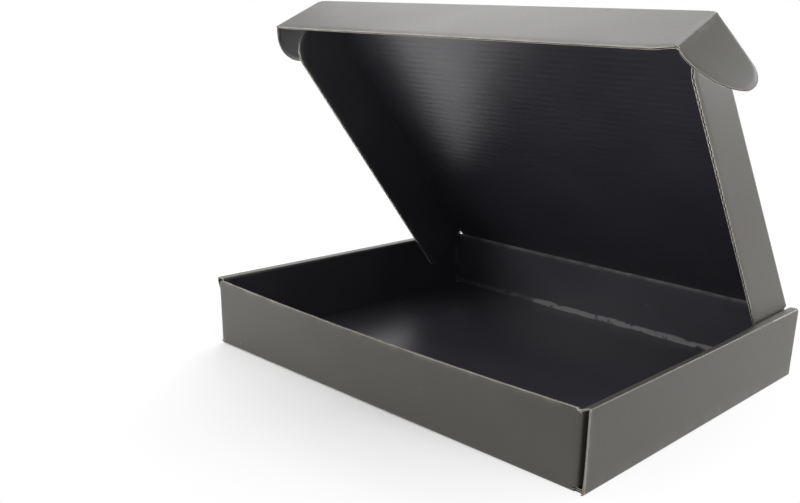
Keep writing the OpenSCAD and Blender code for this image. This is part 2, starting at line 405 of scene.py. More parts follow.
@dataclass
class Slab:
    """A panel of board over one grid: two paper faces and the cut edges between them.

    A point of the panel is place(along, across, height): along runs with the flutes, across over them, and
    height is measured out of the middle of the board. The faces stand at plus and minus half, less the
    washboard dip between two flute tips.

    Attributes:
        board: The board.
        place: Point of the panel at a length along, a length across and a height.
        along, across: Length along and across the flutes over the grid.
        half, shift: Half thickness, and how far the middle of the board is moved out.
        outer, inner: Paper of each face, or the material index of each cell.
        dip: Share of the washboard dip.
        rub_and_highlight, inner_rub_and_highlight: Wear of the outer and the inner face, the inner's with any
        painted highlight; None where the inner's is the same.
        keep: Cells of the faces that stay, or None for all.
    """

    board: Board
    place: Placement
    along: Array
    across: Array
    half: Array | float
    outer: Paper | Array = Paper.OUTSIDE
    inner: Paper | Array = Paper.INSIDE
    dip: Array | float = 1.0
    rub_and_highlight: Array | float = 0.0
    inner_rub_and_highlight: Array | float | None = None
    shift: Array | float = 0.0
    keep: Array | None = None

    def __post_init__(self) -> None:
        """Spreads single numbers over the grid."""
        self.along, self.across = np.broadcast_arrays(self.along, self.across)
        self.half = np.broadcast_to(self.half, self.along.shape)
        self.dip = np.broadcast_to(self.dip, self.along.shape)
        self.rub_and_highlight = np.broadcast_to(self.rub_and_highlight, self.along.shape)
        inner_rub_and_highlight = self.rub_and_highlight if self.inner_rub_and_highlight is None else self.inner_rub_and_highlight
        self.inner_rub_and_highlight = np.broadcast_to(inner_rub_and_highlight, self.along.shape)
        self.shift = np.broadcast_to(self.shift, self.along.shape)

    def heights(self) -> tuple[Array, Array]:
        """Heights of both faces: half a board from the middle, less the dip between the flutes' tips.

        Returns:
            Height of the inner face and of the outer face over the grid.
        """
        wave = self.board.wave(self.across)
        depth = 0.5 * self.board.washboard * self.dip * np.minimum(1.0, self.half / self.board.half)
        low = self.shift + depth * (1.0 + wave) - self.half
        high = self.shift + self.half - depth * (1.0 - wave)
        return low, high

    def faces(self) -> list[Patch]:
        """Both paper faces.

        Returns:
            The outer patch and the inner patch.
        """
        low, high = self.heights()
        middle = self.place(self.along, self.across, np.zeros_like(high))
        lift = self.place(self.along, self.across, np.full_like(high, PROBE_LIFT)) - middle
        lift = 0.25 * (lift[1:, 1:] + lift[:-1, 1:] + lift[1:, :-1] + lift[:-1, :-1])
        flat = np.stack([self.along, self.across], axis=-1)
        sides = ((high, self.outer, self.rub_and_highlight, 1.0), (low, self.inner, self.inner_rub_and_highlight, -1.0))
        made = []
        for height, paper, rub_and_highlight, sign in sides:
            value = paper.value if isinstance(paper, Paper) else paper
            index = np.broadcast_to(value, lift.shape[:2])
            points = self.place(self.along, self.across, height)
            made.append(Patch(points, index, flat, rub_and_highlight, sign * lift, self.keep))
        return made

    def line(self, rim: Rim, grid: Array, step: int = 0) -> Array:
        """Values of a grid on a rim, or some rows or columns inside it.

        Args:
            rim: Which rim.
            grid: Values over the whole grid.
            step: How many rows or columns inside the rim.

        Returns:
            The values along that line.
        """
        if rim in (Rim.FIRST_ROW, Rim.LAST_ROW):
            return grid[step] if rim is Rim.FIRST_ROW else grid[-1 - step]
        return grid[:, step] if rim is Rim.FIRST_COLUMN else grid[:, -1 - step]

    def edge(self, rim: Rim, cut: Cut) -> Patch:
        """One cut edge, as a comb-shaped profile carried along a rim.

        The profile goes over the inner liner, into the channel below the waved sheet, over that sheet, into
        the channel above it and over the outer liner. Channels run with the flutes where the rim crosses
        them, and are a shallow groove square to the rim where it runs with them. They close at both ends.

        Args:
            rim: Which rim of the grid.
            cut: How the board is cut there.

        Returns:
            The edge's patch.
        """
        low, high = (self.line(rim, height) for height in self.heights())
        a, b = self.line(rim, self.along), self.line(rim, self.across)
        half = self.line(rim, self.half)
        into_a, into_b = self.line(rim, self.along, 1) - a, self.line(rim, self.across, 1) - b
        run_a, run_b = np.gradient(a), np.gradient(b)
        side = np.sign(run_a * into_b - run_b * into_a + TIE)
        size = np.maximum(np.hypot(run_a, run_b), TINY)
        normal_a, normal_b = -run_b * side / size, run_a * side / size
        gone = np.concatenate([[0.0], np.cumsum(np.hypot(np.diff(a), np.diff(b)))])
        taper = smooth(np.minimum(gone, gone[-1] - gone) / self.board.closing)
        crossing = np.zeros_like(a)
        if cut is Cut.OPEN_FLUTES:
            crossing = smooth((np.abs(normal_a) - self.board.crossing_from) / self.board.crossing_over)
        deep = self.board.flute_depth * np.sign(normal_a) * crossing
        shallow = self.board.groove_depth * (1.0 - crossing)
        if cut is Cut.PLAIN:
            deep, shallow = np.zeros_like(a), np.zeros_like(a)
        reach_a = taper * (deep + shallow * normal_a)
        reach_b = taper * shallow * normal_b
        share = half / self.board.half
        liner, sheet = self.board.liner * share, 0.5 * self.board.medium * share
        tip = half - liner - sheet - self.board.clear * share
        wave = 0.5 * (low + high) + tip * self.board.wave(b)
        profile = [low, low + liner, low + liner, wave - sheet, wave - sheet,
                   wave + sheet, wave + sheet, high - liner, high - liner, high]
        inside = np.array([0, 0, 1, 1, 0, 0, 1, 1, 0, 0], float)
        # FLUTE strips line the channels, whose darker kraft is painted shade.
        strips = [Paper.LINER, Paper.FLUTE, Paper.FLUTE, Paper.FLUTE, Paper.LINER,
                  Paper.FLUTE, Paper.FLUTE, Paper.FLUTE, Paper.LINER]
        along = a[:, None] + reach_a[:, None] * inside
        across = b[:, None] + reach_b[:, None] * inside
        points = self.place(along, across, np.stack(profile, axis=1))
        level = np.zeros_like(a)
        inwards = self.place(a + PROBE_STEP * normal_a, b + PROBE_STEP * normal_b, level)
        away = self.place(a, b, level) - inwards
        away = 0.5 * (away[1:] + away[:-1])
        shown = np.array([s is Paper.LINER for s in strips], float)
        outward = away[:, None, :] * shown[None, :, None]
        paper = np.broadcast_to(np.array([s.value for s in strips]), outward.shape[:2])
        flat = np.stack([along, across], axis=-1)
        return Patch(points, paper, flat, np.broadcast_to(inside, along.shape), outward)

    def shell(self, cuts: dict[Rim, Cut]) -> list[Patch]:
        """All patches of the panel: both faces, and a cut edge on each rim that has a cut."""
        return self.faces() + [self.edge(rim, cut) for rim, cut in cuts.items()]


@dataclass(frozen=True)
class Grain:
    """A noise that is laid on a surface.

    Attributes:
        scale: Stretch of each axis, in waves per metre.
        detail: Octaves.
        roughness: Weight of the fine octaves.
    """

    scale: tuple[float, float, float]
    detail: float
    roughness: float


CLOUD = Grain((9.0, 14.0, 1.0), 3.0, 0.55)
FIBRE = Grain((260.0, 900.0, 1.0), 2.0, 0.6)
FLECK = Grain((55.0, 70.0, 1.0), 4.0, 0.62)
PATCHY = Grain((60.0, 60.0, 60.0), 3.0, 0.6)
FUZZ = Grain((1500.0, 1500.0, 1500.0), 2.0, 0.6)

# The range that a noise mostly keeps to, and the plain range from nothing to all.
NOISE = (0.3, 0.7)
UNIT = (0.0, 1.0)

# A speck's full core as a share of its radius, and the step between empty cells and cells with a speck.
SPECK_CORE = 0.6
SPECK_STEP = 0.01

# Numbers of a colour mix node's sockets: share, first colour, second colour and result.
MIX_SHARE = 0
MIX_FIRST = 6
MIX_SECOND = 7
MIX_RESULT = 2


class Nodes:
    """Short ways to lay out nodes in one tree."""

    def __init__(self, tree: bpy.types.NodeTree) -> None:
        """Works in that tree."""
        self.tree = tree

    def node(self, kind: str) -> bpy.types.Node:
        """Adds one node of that kind."""
        return self.tree.nodes.new(kind)

    def wire(self, source: Socket, target: Socket) -> None:
        """Links two sockets."""
        self.tree.links.new(source, target)

    def attribute(self, name: str, output: str = "Vector") -> Socket:
        """Reads one of the mesh's own attributes.

        Args:
            name: Name of the attribute.
            output: Output of the node that is wanted.

        Returns:
            That output.
        """
        node = self.node("ShaderNodeAttribute")
        node.attribute_name = name
        return node.outputs[output]

    def coordinates(self) -> Socket:
        """Object coordinates."""
        return self.node("ShaderNodeTexCoord").outputs["Object"]

    def noise(self, vector: Socket, grain: Grain) -> Socket:
        """Noise over a stretched vector.

        Args:
            vector: What the noise is laid on.
            grain: Its stretch and octaves.

        Returns:
            The noise's factor.
        """
        stretch = self.node("ShaderNodeMapping")
        stretch.inputs["Scale"].default_value = grain.scale
        self.wire(vector, stretch.inputs["Vector"])
        node = self.node("ShaderNodeTexNoise")
        node.inputs["Scale"].default_value = 1.0
        node.inputs["Detail"].default_value = grain.detail
        node.inputs["Roughness"].default_value = grain.roughness
        self.wire(stretch.outputs["Vector"], node.inputs["Vector"])
        return node.outputs["Fac"]

    def span(self, value: Socket, source: Pair, target: Pair) -> Socket:
        """Maps one range to another, held at its ends.

        Args:
            value: What is mapped.
            source: Start and end of its range.
            target: Result at the start and at the end.

        Returns:
            The mapped value.
        """
        node = self.node("ShaderNodeMapRange")
        node.inputs["From Min"].default_value = source[0]
        node.inputs["From Max"].default_value = source[1]
        node.inputs["To Min"].default_value = target[0]
        node.inputs["To Max"].default_value = target[1]
        self.wire(value, node.inputs["Value"])
        return node.outputs["Result"]

    def math(self, operation: str, first: Socket, second: Socket) -> Socket:
        """Joins two values by one operation.

        Args:
            operation: Name of the operation.
            first: First value.
            second: Second value.

        Returns:
            The result.
        """
        node = self.node("ShaderNodeMath")
        node.operation = operation
        self.wire(first, node.inputs[0])
        self.wire(second, node.inputs[1])
        return node.outputs["Value"]

    def ramp(self, value: Socket, first: Colour, second: Colour, stops: Pair) -> Socket:
        """Colour ramp between two colours.

        Args:
            value: What drives the ramp.
            first: Colour at the low stop.
            second: Colour at the high stop.
            stops: Places of the two stops.

        Returns:
            The colour.
        """
        node = self.node("ShaderNodeValToRGB")
        for stop, place, colour in zip(node.color_ramp.elements, stops, (first, second)):
            stop.position = place
            stop.color = (*colour, 1.0)
        self.wire(value, node.inputs["Fac"])
        return node.outputs["Color"]

    def blend(self, share: Socket, first: Socket, second: Colour) -> Socket:
        """Mixes a colour towards a fixed one.

        Args:
            share: Share of the second colour.
            first: Colour at 0.
            second: Colour at 1.

        Returns:
            The mixed colour.
        """
        node = self.node("ShaderNodeMix")
        node.data_type = "RGBA"
        node.inputs[MIX_SECOND].default_value = (*second, 1.0)
        self.wire(share, node.inputs[MIX_SHARE])
        self.wire(first, node.inputs[MIX_FIRST])
        return node.outputs[MIX_RESULT]

    def specks(self, vector: Socket, scale: float, size: float, least: float) -> Socket:
        """Scattered small dots: near the middle of a few cells of a Voronoi texture.

        Args:
            vector: What the dots are laid on.
            scale: Cells per metre.
            size: Radius of a dot in cells.
            least: Share of the cells that stay empty.

        Returns:
            1 on a dot and 0 elsewhere.
        """
        cells = self.node("ShaderNodeTexVoronoi")
        cells.inputs["Scale"].default_value = scale
        self.wire(vector, cells.inputs["Vector"])
        tone = self.node("ShaderNodeSeparateColor")
        self.wire(cells.outputs["Color"], tone.inputs["Color"])
        near = self.span(cells.outputs["Distance"], (size, SPECK_CORE * size), UNIT)
        few = self.span(tone.outputs["Red"], (least, least + SPECK_STEP), UNIT)
        return self.math("MULTIPLY", near, few)

    def bump(self, height: Socket, strength: float, distance: float, under: Socket | None = None) -> Socket:
        """Bump from a height.

        Args:
            height: The relief.
            strength: Strength of the bump.
            distance: Its height in metres.
            under: Normal that it is added to, if any.

        Returns:
            The bent normal.
        """
        node = self.node("ShaderNodeBump")
        node.inputs["Strength"].default_value = strength
        node.inputs["Distance"].default_value = distance
        self.wire(height, node.inputs["Height"])
        if under is not None:
            self.wire(under, node.inputs["Normal"])
        return node.outputs["Normal"]


class NodeKit(Nodes):
    """The nodes of one material, round its shader."""

    def __init__(self, name: str) -> None:
        """Starts a material with its shader.

        Args:
            name: Material name.
        """
        self.material = bpy.data.materials.new(name)
        self.material.use_nodes = True
        super().__init__(self.material.node_tree)
        self.shader = self.tree.nodes["Principled BSDF"]

    def link(self, source: Socket, socket: str) -> None:
        """Links a socket to the shader's input of that name."""
        self.wire(source, self.shader.inputs[socket])

    def fix(self, socket: str, value: float | tuple[float, ...]) -> None:
        """Sets the shader's input of that name to a constant."""
        self.shader.inputs[socket].default_value = value


@dataclass(frozen=True)
class PaperFinish:
    """Printed black paper of a liner.

    Attributes:
        name: Material name.
        ink, worn_and_highlight: Linear colours of the print, and of a crease or an edge that is rubbed, which
            is also the colour of the painted highlight.
        roughness, wander: Mean roughness of the varnish, and how far it wanders with the clouds.
        mottle: How far the ink's density wanders.
        gloss, ior: Specular level and refractive index of the varnish.
        ink_stops: Range of the clouds over which the ink turns from dense to thin.
        worn_flecks, worn_share: Range of the flecks over which wear and painted highlight show, and their
            least and greatest share.
        fibre_sheen: What the fibres take off and add to the roughness.
        specks: Cells per metre, radius in cells and empty share of the pale specks.
        relief: Strength of both bumps.
        fibre_height, fleck_height: Heights of the fibres and of the flecks in metres.
    """

    name: str
    ink: Colour
    worn_and_highlight: Colour
    roughness: float
    mottle: float
    gloss: float = 0.5
    ior: float = 1.5
    ink_stops: Pair = (0.35, 0.65)
    worn_flecks: Pair = (0.40, 0.60)
    worn_share: Pair = (0.04, 1.0)
    wander: float = 0.03
    fibre_sheen: Pair = (-0.02, 0.03)
    specks: tuple[float, float, float] = (34.0, 0.028, 0.86)
    relief: float = 0.10
    fibre_height: float = 0.00004
    fleck_height: float = 0.00012

    def material(self) -> bpy.types.Material:
        """Builds the node material.

        Returns:
            A satin paper with fibre grain, cloudy ink, rubbed edges and the painted highlight that the same
            attribute carries.
        """
        kit = NodeKit(self.name)
        flat = kit.attribute("flat")
        cloud = kit.noise(flat, CLOUD)
        fibre = kit.noise(flat, FIBRE)
        fleck = kit.noise(flat, FLECK)
        dense = tuple(c * (1.0 - self.mottle) for c in self.ink)
        thin = tuple(c * (1.0 + self.mottle) for c in self.ink)
        ink = kit.ramp(cloud, dense, thin, self.ink_stops)
        rub_and_highlight = kit.attribute("rub_and_highlight", "Fac")
        # Wear, and the painted highlight carried in the same attribute, pale the ink towards that pale
        # colour.
        worn_and_highlight = kit.math("MULTIPLY", rub_and_highlight, kit.span(fleck, self.worn_flecks, self.worn_share))
        colour = kit.blend(worn_and_highlight, ink, self.worn_and_highlight)
        colour = kit.blend(kit.specks(flat, *self.specks), colour, self.worn_and_highlight)
        cloudy = kit.span(cloud, NOISE, (self.roughness - self.wander, self.roughness + self.wander))
        sheen = kit.math("ADD", cloudy, kit.span(fibre, NOISE, self.fibre_sheen))
        kit.link(colour, "Base Color")
        kit.link(sheen, "Roughness")
        under = kit.bump(fleck, self.relief, self.fleck_height)
        kit.link(kit.bump(fibre, self.relief, self.fibre_height, under), "Normal")
        kit.fix("Specular IOR Level", self.gloss)
        kit.fix("IOR", self.ior)
        return kit.material


@dataclass(frozen=True)
class RawFinish:
    """Unprinted kraft paper at a cut.

    Attributes:
        name: Material name.
        pale, brown: Linear colours of clean and of dull fibres.
        stops: Range of the noise over which the colour turns.
        roughness: Least and greatest roughness.
        relief, height: Strength of the fuzz, and its height in metres.
        gloss: Specular level.
    """

    name: str
    pale: Colour
    brown: Colour
    stops: Pair = (0.35, 0.6)
    roughness: Pair = (0.82, 0.95)
    relief: float = 0.35
    height: float = 0.0001
    gloss: float = 0.25

    def material(self) -> bpy.types.Material:
        """Builds the node material.

        Returns:
            A matt kraft paper with uneven fibres.
        """
        kit = NodeKit(self.name)
        place = kit.coordinates()
        patchy = kit.noise(place, PATCHY)
        fuzz = kit.noise(place, FUZZ)
        kit.link(kit.ramp(patchy, self.brown, self.pale, self.stops), "Base Color")
        kit.link(kit.span(fuzz, NOISE, self.roughness), "Roughness")
        kit.link(kit.bump(fuzz, self.relief, self.height), "Normal")
        kit.fix("Specular IOR Level", self.gloss)
        return kit.material


@dataclass
class Finishes:
    """The box's five surfaces, in the order of Paper.

    Attributes:
        outside: Printed outside of the sheet.
        inside: Printed inside of the lid and its flaps.
        liner: Cut edges of the liners.
        flute: Waved sheet and channels: kraft darkened as painted shade in the channels.
        tray: Printed inside of the tray: the lid's inside paper, less glossy, with a lighter ink as painted
            fill light.
        made: The materials, once they are built.
    """

    outside: PaperFinish = PaperFinish(
        "charcoal_paper", ink=(0.0585, 0.0562, 0.0490), worn_and_highlight=(0.20, 0.19, 0.175), roughness=0.42, mottle=0.08)
    inside: PaperFinish = PaperFinish(
        "black_paper", ink=(0.0270, 0.0259, 0.0340), worn_and_highlight=(0.20, 0.198, 0.195), roughness=0.335,
        mottle=0.10, gloss=0.95, ior=1.65)
    liner: RawFinish = RawFinish("kraft_cut", pale=(0.93, 0.90, 0.84), brown=(0.78, 0.70, 0.58))
    # Painted shade: kraft brown darkened for the channels, which lie in shade.
    flute: RawFinish = RawFinish("kraft_flutes_painted_shade", pale=(0.085, 0.064, 0.046), brown=(0.045, 0.034, 0.025))
    # Painted fill light: the tray's copy of the lid's inside paper has a lighter ink for its shaded interior.
    tray: PaperFinish = PaperFinish(
        "tray_black_paper_painted_light", ink=(0.0345, 0.0330, 0.0410), worn_and_highlight=(0.20, 0.198, 0.195), roughness=0.35,
        mottle=0.10, gloss=0.38)
    made: list[bpy.types.Material] = field(default_factory=list)

    def dress(self, mesh: bpy.types.Mesh) -> None:
        """Gives a mesh the five materials, which are built once.

        Args:
            mesh: Mesh whose cells name their material by its index in Paper.
        """
        if not self.made:
            finishes = (self.outside, self.inside, self.liner, self.flute, self.tray)
            self.made = [finish.material() for finish in finishes]
        for material in self.made:
            mesh.materials.append(material)


def make_piece(sheetwork: Sheetwork, finishes: Finishes) -> bpy.types.Object:
    """Makes a piece's object, dresses it and reports it.

    Args:
        sheetwork: The piece's patches.
        finishes: The box's materials.

    Returns:
        The new object.
    """
    mesh = sheetwork.mesh()
    finishes.dress(mesh)
    piece = bpy.data.objects.new(sheetwork.name, mesh)
    bpy.context.scene.collection.objects.link(piece)
    LOG.info("%s: %d triangles", sheetwork.name, len(mesh.loops) - 2 * len(mesh.polygons))
    return piece


def put(sheetwork: Sheetwork, finishes: Finishes, node: str) -> bpy.types.Object:
    """Makes a panel that stands for its CAD node and rides on the body of the same name.

    Args:
        sheetwork: The piece's patches.
        finishes: The box's materials.
        node: CAD node that it stands for.

    Returns:
        The new object.
    """
    piece = make_piece(sheetwork, finishes)
    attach(piece, node)
    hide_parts(node)
    return piece


@dataclass
class Crease:
    """Strip of outer liner that bends over a crease between two panels.

    Its profile lies flat on the carrying panel, turns about the crease's axis by the fold angle, and laps a
    little into the notch of the folded panel.

    Attributes:
        board, name: The board, and the piece's name.
        bodies: Carrying and folded body; not used.
        place: Point of the carrying panel at a distance past the axis, along the crease and out of the board.
        fold, tail: Fold angle, and the angle that the strip goes on for past it.
        run: Where the crease starts and ends.
        lap: How far the strip reaches back on the carrying panel.
        middle, half: Radius of the strip's middle about the axis, and half of its thickness.
        wear, wear_turn: Wear in the middle of the bend, and the angle in radians over which it dies away.
        steps: Points on the lap, on the bend and along the crease.
    """

    board: Board
    name: str
    bodies: tuple[str, str]
    place: Placement
    fold: float
    run: Pair
    lap: float
    middle: float = 1.37
    half: float = 0.12
    tail: float = 10.0
    wear: float = 0.75
    wear_turn: float = 0.45
    steps: tuple[int, int, int] = (4, 13, 9)

    def bend(self, along: Array, across: Array, height: Array) -> Array:
        """Point of the strip: flat before the axis, then on a circle about it.

        Args:
            along: Length along the profile, 0 where the bend starts.
            across: Length along the crease.
            height: Distance out of the middle of the strip.

        Returns:
            Points in millimetres.
        """
        turn = np.maximum(along, 0.0) / self.middle
        radius = self.middle + height
        return self.place(np.minimum(along, 0.0) + radius * np.sin(turn), across, radius * np.cos(turn))

    def build(self, finishes: Finishes) -> bpy.types.Object:
        """Makes the strip.

        Args:
            finishes: The box's materials.

        Returns:
            The new object.
        """
        lap_steps, bend_steps, run_steps = self.steps
        end = self.middle * math.radians(self.fold)
        last = end + self.middle * math.radians(self.tail)
        flat = np.linspace(-self.lap, 0.0, lap_steps)[:-1]
        profile = np.concatenate([flat, np.linspace(0.0, end, bend_steps), [last]])
        along, across = np.meshgrid(profile, np.linspace(*self.run, run_steps), indexing="ij")
        rub_and_highlight = Falloff(self.wear, self.wear_turn * self.middle).bell(along - 0.5 * end)
        slab = Slab(self.board, self.bend, along, across, self.half, inner=Paper.LINER, dip=0.0, rub_and_highlight=rub_and_highlight)
        work = Sheetwork(self.name)
        work.add(slab.shell(ALL_PLAIN))
        piece = make_piece(work, finishes)
        ends = self.bend(np.array([0.0, end]), np.full(2, sum(self.run) / 2.0), np.zeros(2)) * MM
        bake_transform(piece)
        return piece


@dataclass(frozen=True)
class Scuff:
    """Painted highlight: a pale band low on the inside of the back wall, along its bottom crease, sizes in
    millimetres.

    Attributes:
        height, half: Mean height of the band's middle, and mean half of its width.
        strong, faint: Wear in the strong part, past 1 for firm borders, and along the rest of the wall.
        start, start_over: Where the strong part starts along x, and the length over which it sets in.
        end, end_over: Where it ends, and the length over which it goes out.
        drift, jitter: Slow and quick wander of the middle, each with its length.
        strong, faint: Strength of the painted highlight in the strong part, past 1 for firm borders, and
            along the rest of the wall.
    """

    height: float = 5.9
    half: float = 2.4
    strong: float = 4.0
    faint: float = 0.3
    start: float = -92.0
    start_over: float = 24.0
    end: float = 203.0
    end_over: float = 8.0
    drift: Pair = (0.3, 23.0)
    jitter: Pair = (0.2, 6.1)
    swell: Pair = (0.3, 11.0)

    def wear(self, along: Array, across: Array) -> Array:
        """Painted highlight over the wall: its strength times e to minus the fourth power of height over half
        width.

        The band's middle and half width wander with sines of x.

        Args:
            along: x.
            across: Height above the ground.

        Returns:
            The wear at each point.
        """
        waves = (self.drift, self.jitter, self.swell)
        drift, jitter, swell = (size * np.sin(along / length) for size, length in waves)
        begun = smooth((along - self.start) / self.start_over)
        left = smooth((self.end - along) / self.end_over)
        strength = self.strong * begun * left + self.faint
        return strength * np.exp(-((across - (self.height + drift + jitter)) / (self.half + swell)) ** 4)


@dataclass
class Tray:
    """Floor, front and back walls, and the rolled double side walls.

    Sizes are in millimetres; the origin is the middle of the underside.

    Attributes:
        board: The board.
        half_w, half_d: Half of the width and of the depth.
        front_top, back_top: Heights of the front wall's cut edge and of the back wall's hinge crease.
        roll_centre, roll_z, roll_mid: x and z of the rolls' axis, and the radius of the board's middle.
        roll_square: Power of the rolls' rounded square; 2 is a circle.
        roll_end, inner_end: How far a roll and an inner side panel reach to the front and back.
        roll_cover, roll_shade_from: Shares of a roll up to which it does, and from which its outside face has
            the tray's darker paper as painted shade.
        roll_fall: How far the right roll's inner side is pulled down.
        fall_from, fall_over: y up to which it is, and the length over which that eases off.
        floor_even, floor_last, fold_lead: Where lines of the folded sheet's grid lie on the floor.
        floor_lines, fold_lines, side_lines, roll_lines, inner_lines, depth_lines: Lines of that grid over
            each of its stretches.
        corner_x, corner_r: Where the front and back walls turn into their flaps, and the turn's outer radius.
        corner_step, corner_ease, corner_lines: How heights and the turn ease in there, and lines of the grid.
        wall_lines, turn_lines, flap_lines, wall_rows: Lines of the walls' grid along them, and upwards.
        crushed, top_crushed: Half thickness at the side panels' cut ends and at the front wall's cut edge.
        hinge_press: Share of that pressing at the back wall's top.
        squeezed, flap_thinner: Thickness that the turns are laid out for, and what a flap's half loses.
        corner_flap, flap_from: Length of a corner flap, and its first grid line.
        under_roll, fold_base: Heights of its upper and lower edge.
        fold_r, fold_past, fold_over: Inner radius of the bottom folds, and how far they pass the turns.
        slot_x, slot_half: x of the floor slots' middle, and half of their width.
        tab_at, tab_half, tab_room: y of a lock tab's middle, half of its length, and the room round it.
        tab_sink, tab_step: How far above the floor it starts, and its middle grid line.
        bottom_lines, tab_lines: Lines along a bottom fold and along a lock tab.
        front_bow, bow_power, bow_cap: How far the front wall's top stands out, and how it grows upwards.
        left_over, right_slit: How far the front wall's left bend is pushed out and its right bend in.
        push_ease, push_back: Lengths over which those pushes set in and ease back.
        left_recess, cover_room: How far the left side's edge stands back under that bend, and a tolerance.
        end_press, wall_plain: Lengths over which the ends' crushing and the walls' washboard set in.
        bend_wear, bend_worn, bend_worn_at: Wear on the left and right bends, its falloff and its place.
        scuff: Painted highlight, a pale band along the back wall's bottom crease.
    """

    board: Board
    half_w: float = 209.0
    half_d: float = 160.0
    front_top: float = 61.0
    back_top: float = 60.42
    roll_centre: float = 204.5
    roll_z: float = 59.5
    roll_mid: float = 3.0
    roll_square: float = 5.0
    roll_end: float = 159.6
    roll_cover: float = 0.84
    roll_shade_from: float = 0.86
    roll_fall: float = 3.8
    fall_from: float = 10.0
    fall_over: float = 140.0
    inner_end: float = 155.2
    floor_even: float = 190.0
    floor_last: float = 197.0
    fold_lead: float = 0.6
    floor_lines: int = 6
    fold_lines: int = 7
    side_lines: int = 6
    roll_lines: int = 21
    inner_lines: int = 5
    depth_lines: int = 129
    corner_x: float = 201.85
    corner_r: float = 4.0
    corner_step: float = 1.2
    corner_ease: float = 0.15
    corner_lines: tuple[float, ...] = (4.0, 2.5, 1.2)
    wall_lines: int = 50
    turn_lines: int = 10
    flap_lines: int = 5
    wall_rows: int = 59
    crushed: float = 0.62
    top_crushed: float = 0.85
    hinge_press: float = 0.25
    squeezed: float = 2.7
    flap_thinner: float = 0.15
    corner_flap: float = 76.0
    flap_from: float = 6.0
    under_roll: float = 59.2
    fold_base: float = 4.0
    fold_r: float = 0.15
    fold_past: float = 1.0
    fold_over: float = 2.6
    slot_x: float = 201.5
    slot_half: float = 1.9
    tab_at: float = 82.0
    tab_half: float = 20.0
    tab_room: float = 0.4
    tab_sink: float = 0.3
    tab_step: float = 1.2
    bottom_lines: int = 9
    tab_lines: int = 81
    front_bow: float = 6.0
    bow_power: float = 1.15
    bow_cap: float = 1.2
    left_over: float = 2.9
    right_slit: float = 3.4
    push_ease: float = 6.0
    push_back: float = 9.0
    left_recess: float = 2.8
    cover_room: float = 0.5
    plain_from: float = 4.0
    plain_over: float = 6.0
    end_press: float = 4.0
    end_wear: Falloff = Falloff(0.8, 1.6)
    end_crush: Falloff = Falloff(1.0, 3.0)
    side_wear: Falloff = Falloff(0.16, 2.2)
    top_wear: Falloff = Falloff(0.9, 1.5)
    top_crush: Falloff = Falloff(1.0, 2.2)
    bend_wear: Pair = (0.3, 0.05)
    bend_worn: Falloff = Falloff(1.0, 2.5)
    bend_worn_at: float = 0.4
    wall_plain: float = 8.0
    bottom_wear: Falloff = Falloff(0.25, 0.5)
    scuff: Scuff = Scuff()

    @property
    def stations(self) -> tuple[float, float, float, float]:
        """Lengths along the folded sheet from the middle of the floor to each change of shape.

        Returns:
            Where the floor, the side fold, the outer panel and the roll end.
        """
        floor = self.half_w - self.board.thickness
        fold = floor + QUARTER * self.board.half
        roll = fold + self.roll_z - self.board.thickness
        return floor, fold, roll, roll + np.pi * self.roll_mid

    @property
    def inside_d(self) -> float:
        """Half of the depth inside the front and back walls."""
        return self.half_d - self.board.thickness

    @property
    def turn_r(self) -> float:
        """Radius of the middle of the board where a wall turns into its flap."""
        return self.corner_r - 0.5 * self.squeezed

    @property
    def slot_run(self) -> Pair:
        """Where a slot starts and ends along x."""
        return self.slot_x - self.slot_half, self.slot_x + self.slot_half

    @property
    def slot_span(self) -> Pair:
        """Where a slot starts and ends along y."""
        return self.tab_at - self.tab_half - self.tab_room, self.tab_at + self.tab_half + self.tab_room

    def section(self, along: Array, across: Array, height: Array) -> tuple[Array, Array]:
        """Cross-section of the floor and both rolled sides as one folded sheet.

        Out from the middle the sheet runs flat, turns up a quarter circle, rises as the outer panel, rolls
        over a half circle that is pressed towards a square, and drops as the inner panel. Height is added
        square to it. The left half mirrors the right, whose roll is also pulled down on its inner side, by an
        amount that eases off towards the back and down the inner panel.

        Args:
            along: Length along the sheet, negative on the left.
            across: Distance towards the back.
            height: Distance out of the middle of the board, positive outside.

        Returns:
            x and z in millimetres.
        """
        floor, fold, roll, drop = self.stations
        out = np.abs(along)
        half = self.board.half
        turn = np.clip((out - floor) / half, 0.0, QUARTER)
        curl = np.clip((out - roll) / self.roll_mid, 0.0, np.pi)
        x = np.where(out < floor, out, floor + (half + height) * np.sin(turn))
        z = np.where(out < floor, half - height, self.board.thickness - (half + height) * np.cos(turn))
        z = np.where(out > fold, self.board.thickness + (out - fold), z)
        power = self.roll_square
        press = (np.abs(np.cos(curl)) ** power + np.sin(curl) ** power) ** (-1.0 / power)
        radius = (self.roll_mid + height) * press
        x = np.where(out > roll, self.roll_centre + radius * np.cos(curl), x)
        z = np.where(out > roll, self.roll_z + radius * np.sin(curl), z)
        z = np.where(out > drop, self.roll_z - (out - drop), z)
        fade = 1.0 - np.clip((out - drop) / (self.roll_z - self.board.thickness), 0.0, 1.0)
        fall = self.roll_fall * (1.0 - smooth((across - self.fall_from) / self.fall_over)) * (along > 0.0)
        return np.sign(along) * x, z - fall * fade * 0.5 * (1.0 - np.cos(curl))

    def place_sheet(self, along: Array, across: Array, height: Array) -> Array:
        """Point of the floor and rolled sides; across is y."""
        x, z = self.section(along, across, height)
        return np.stack([x, across + 0.0 * x, z], axis=-1)

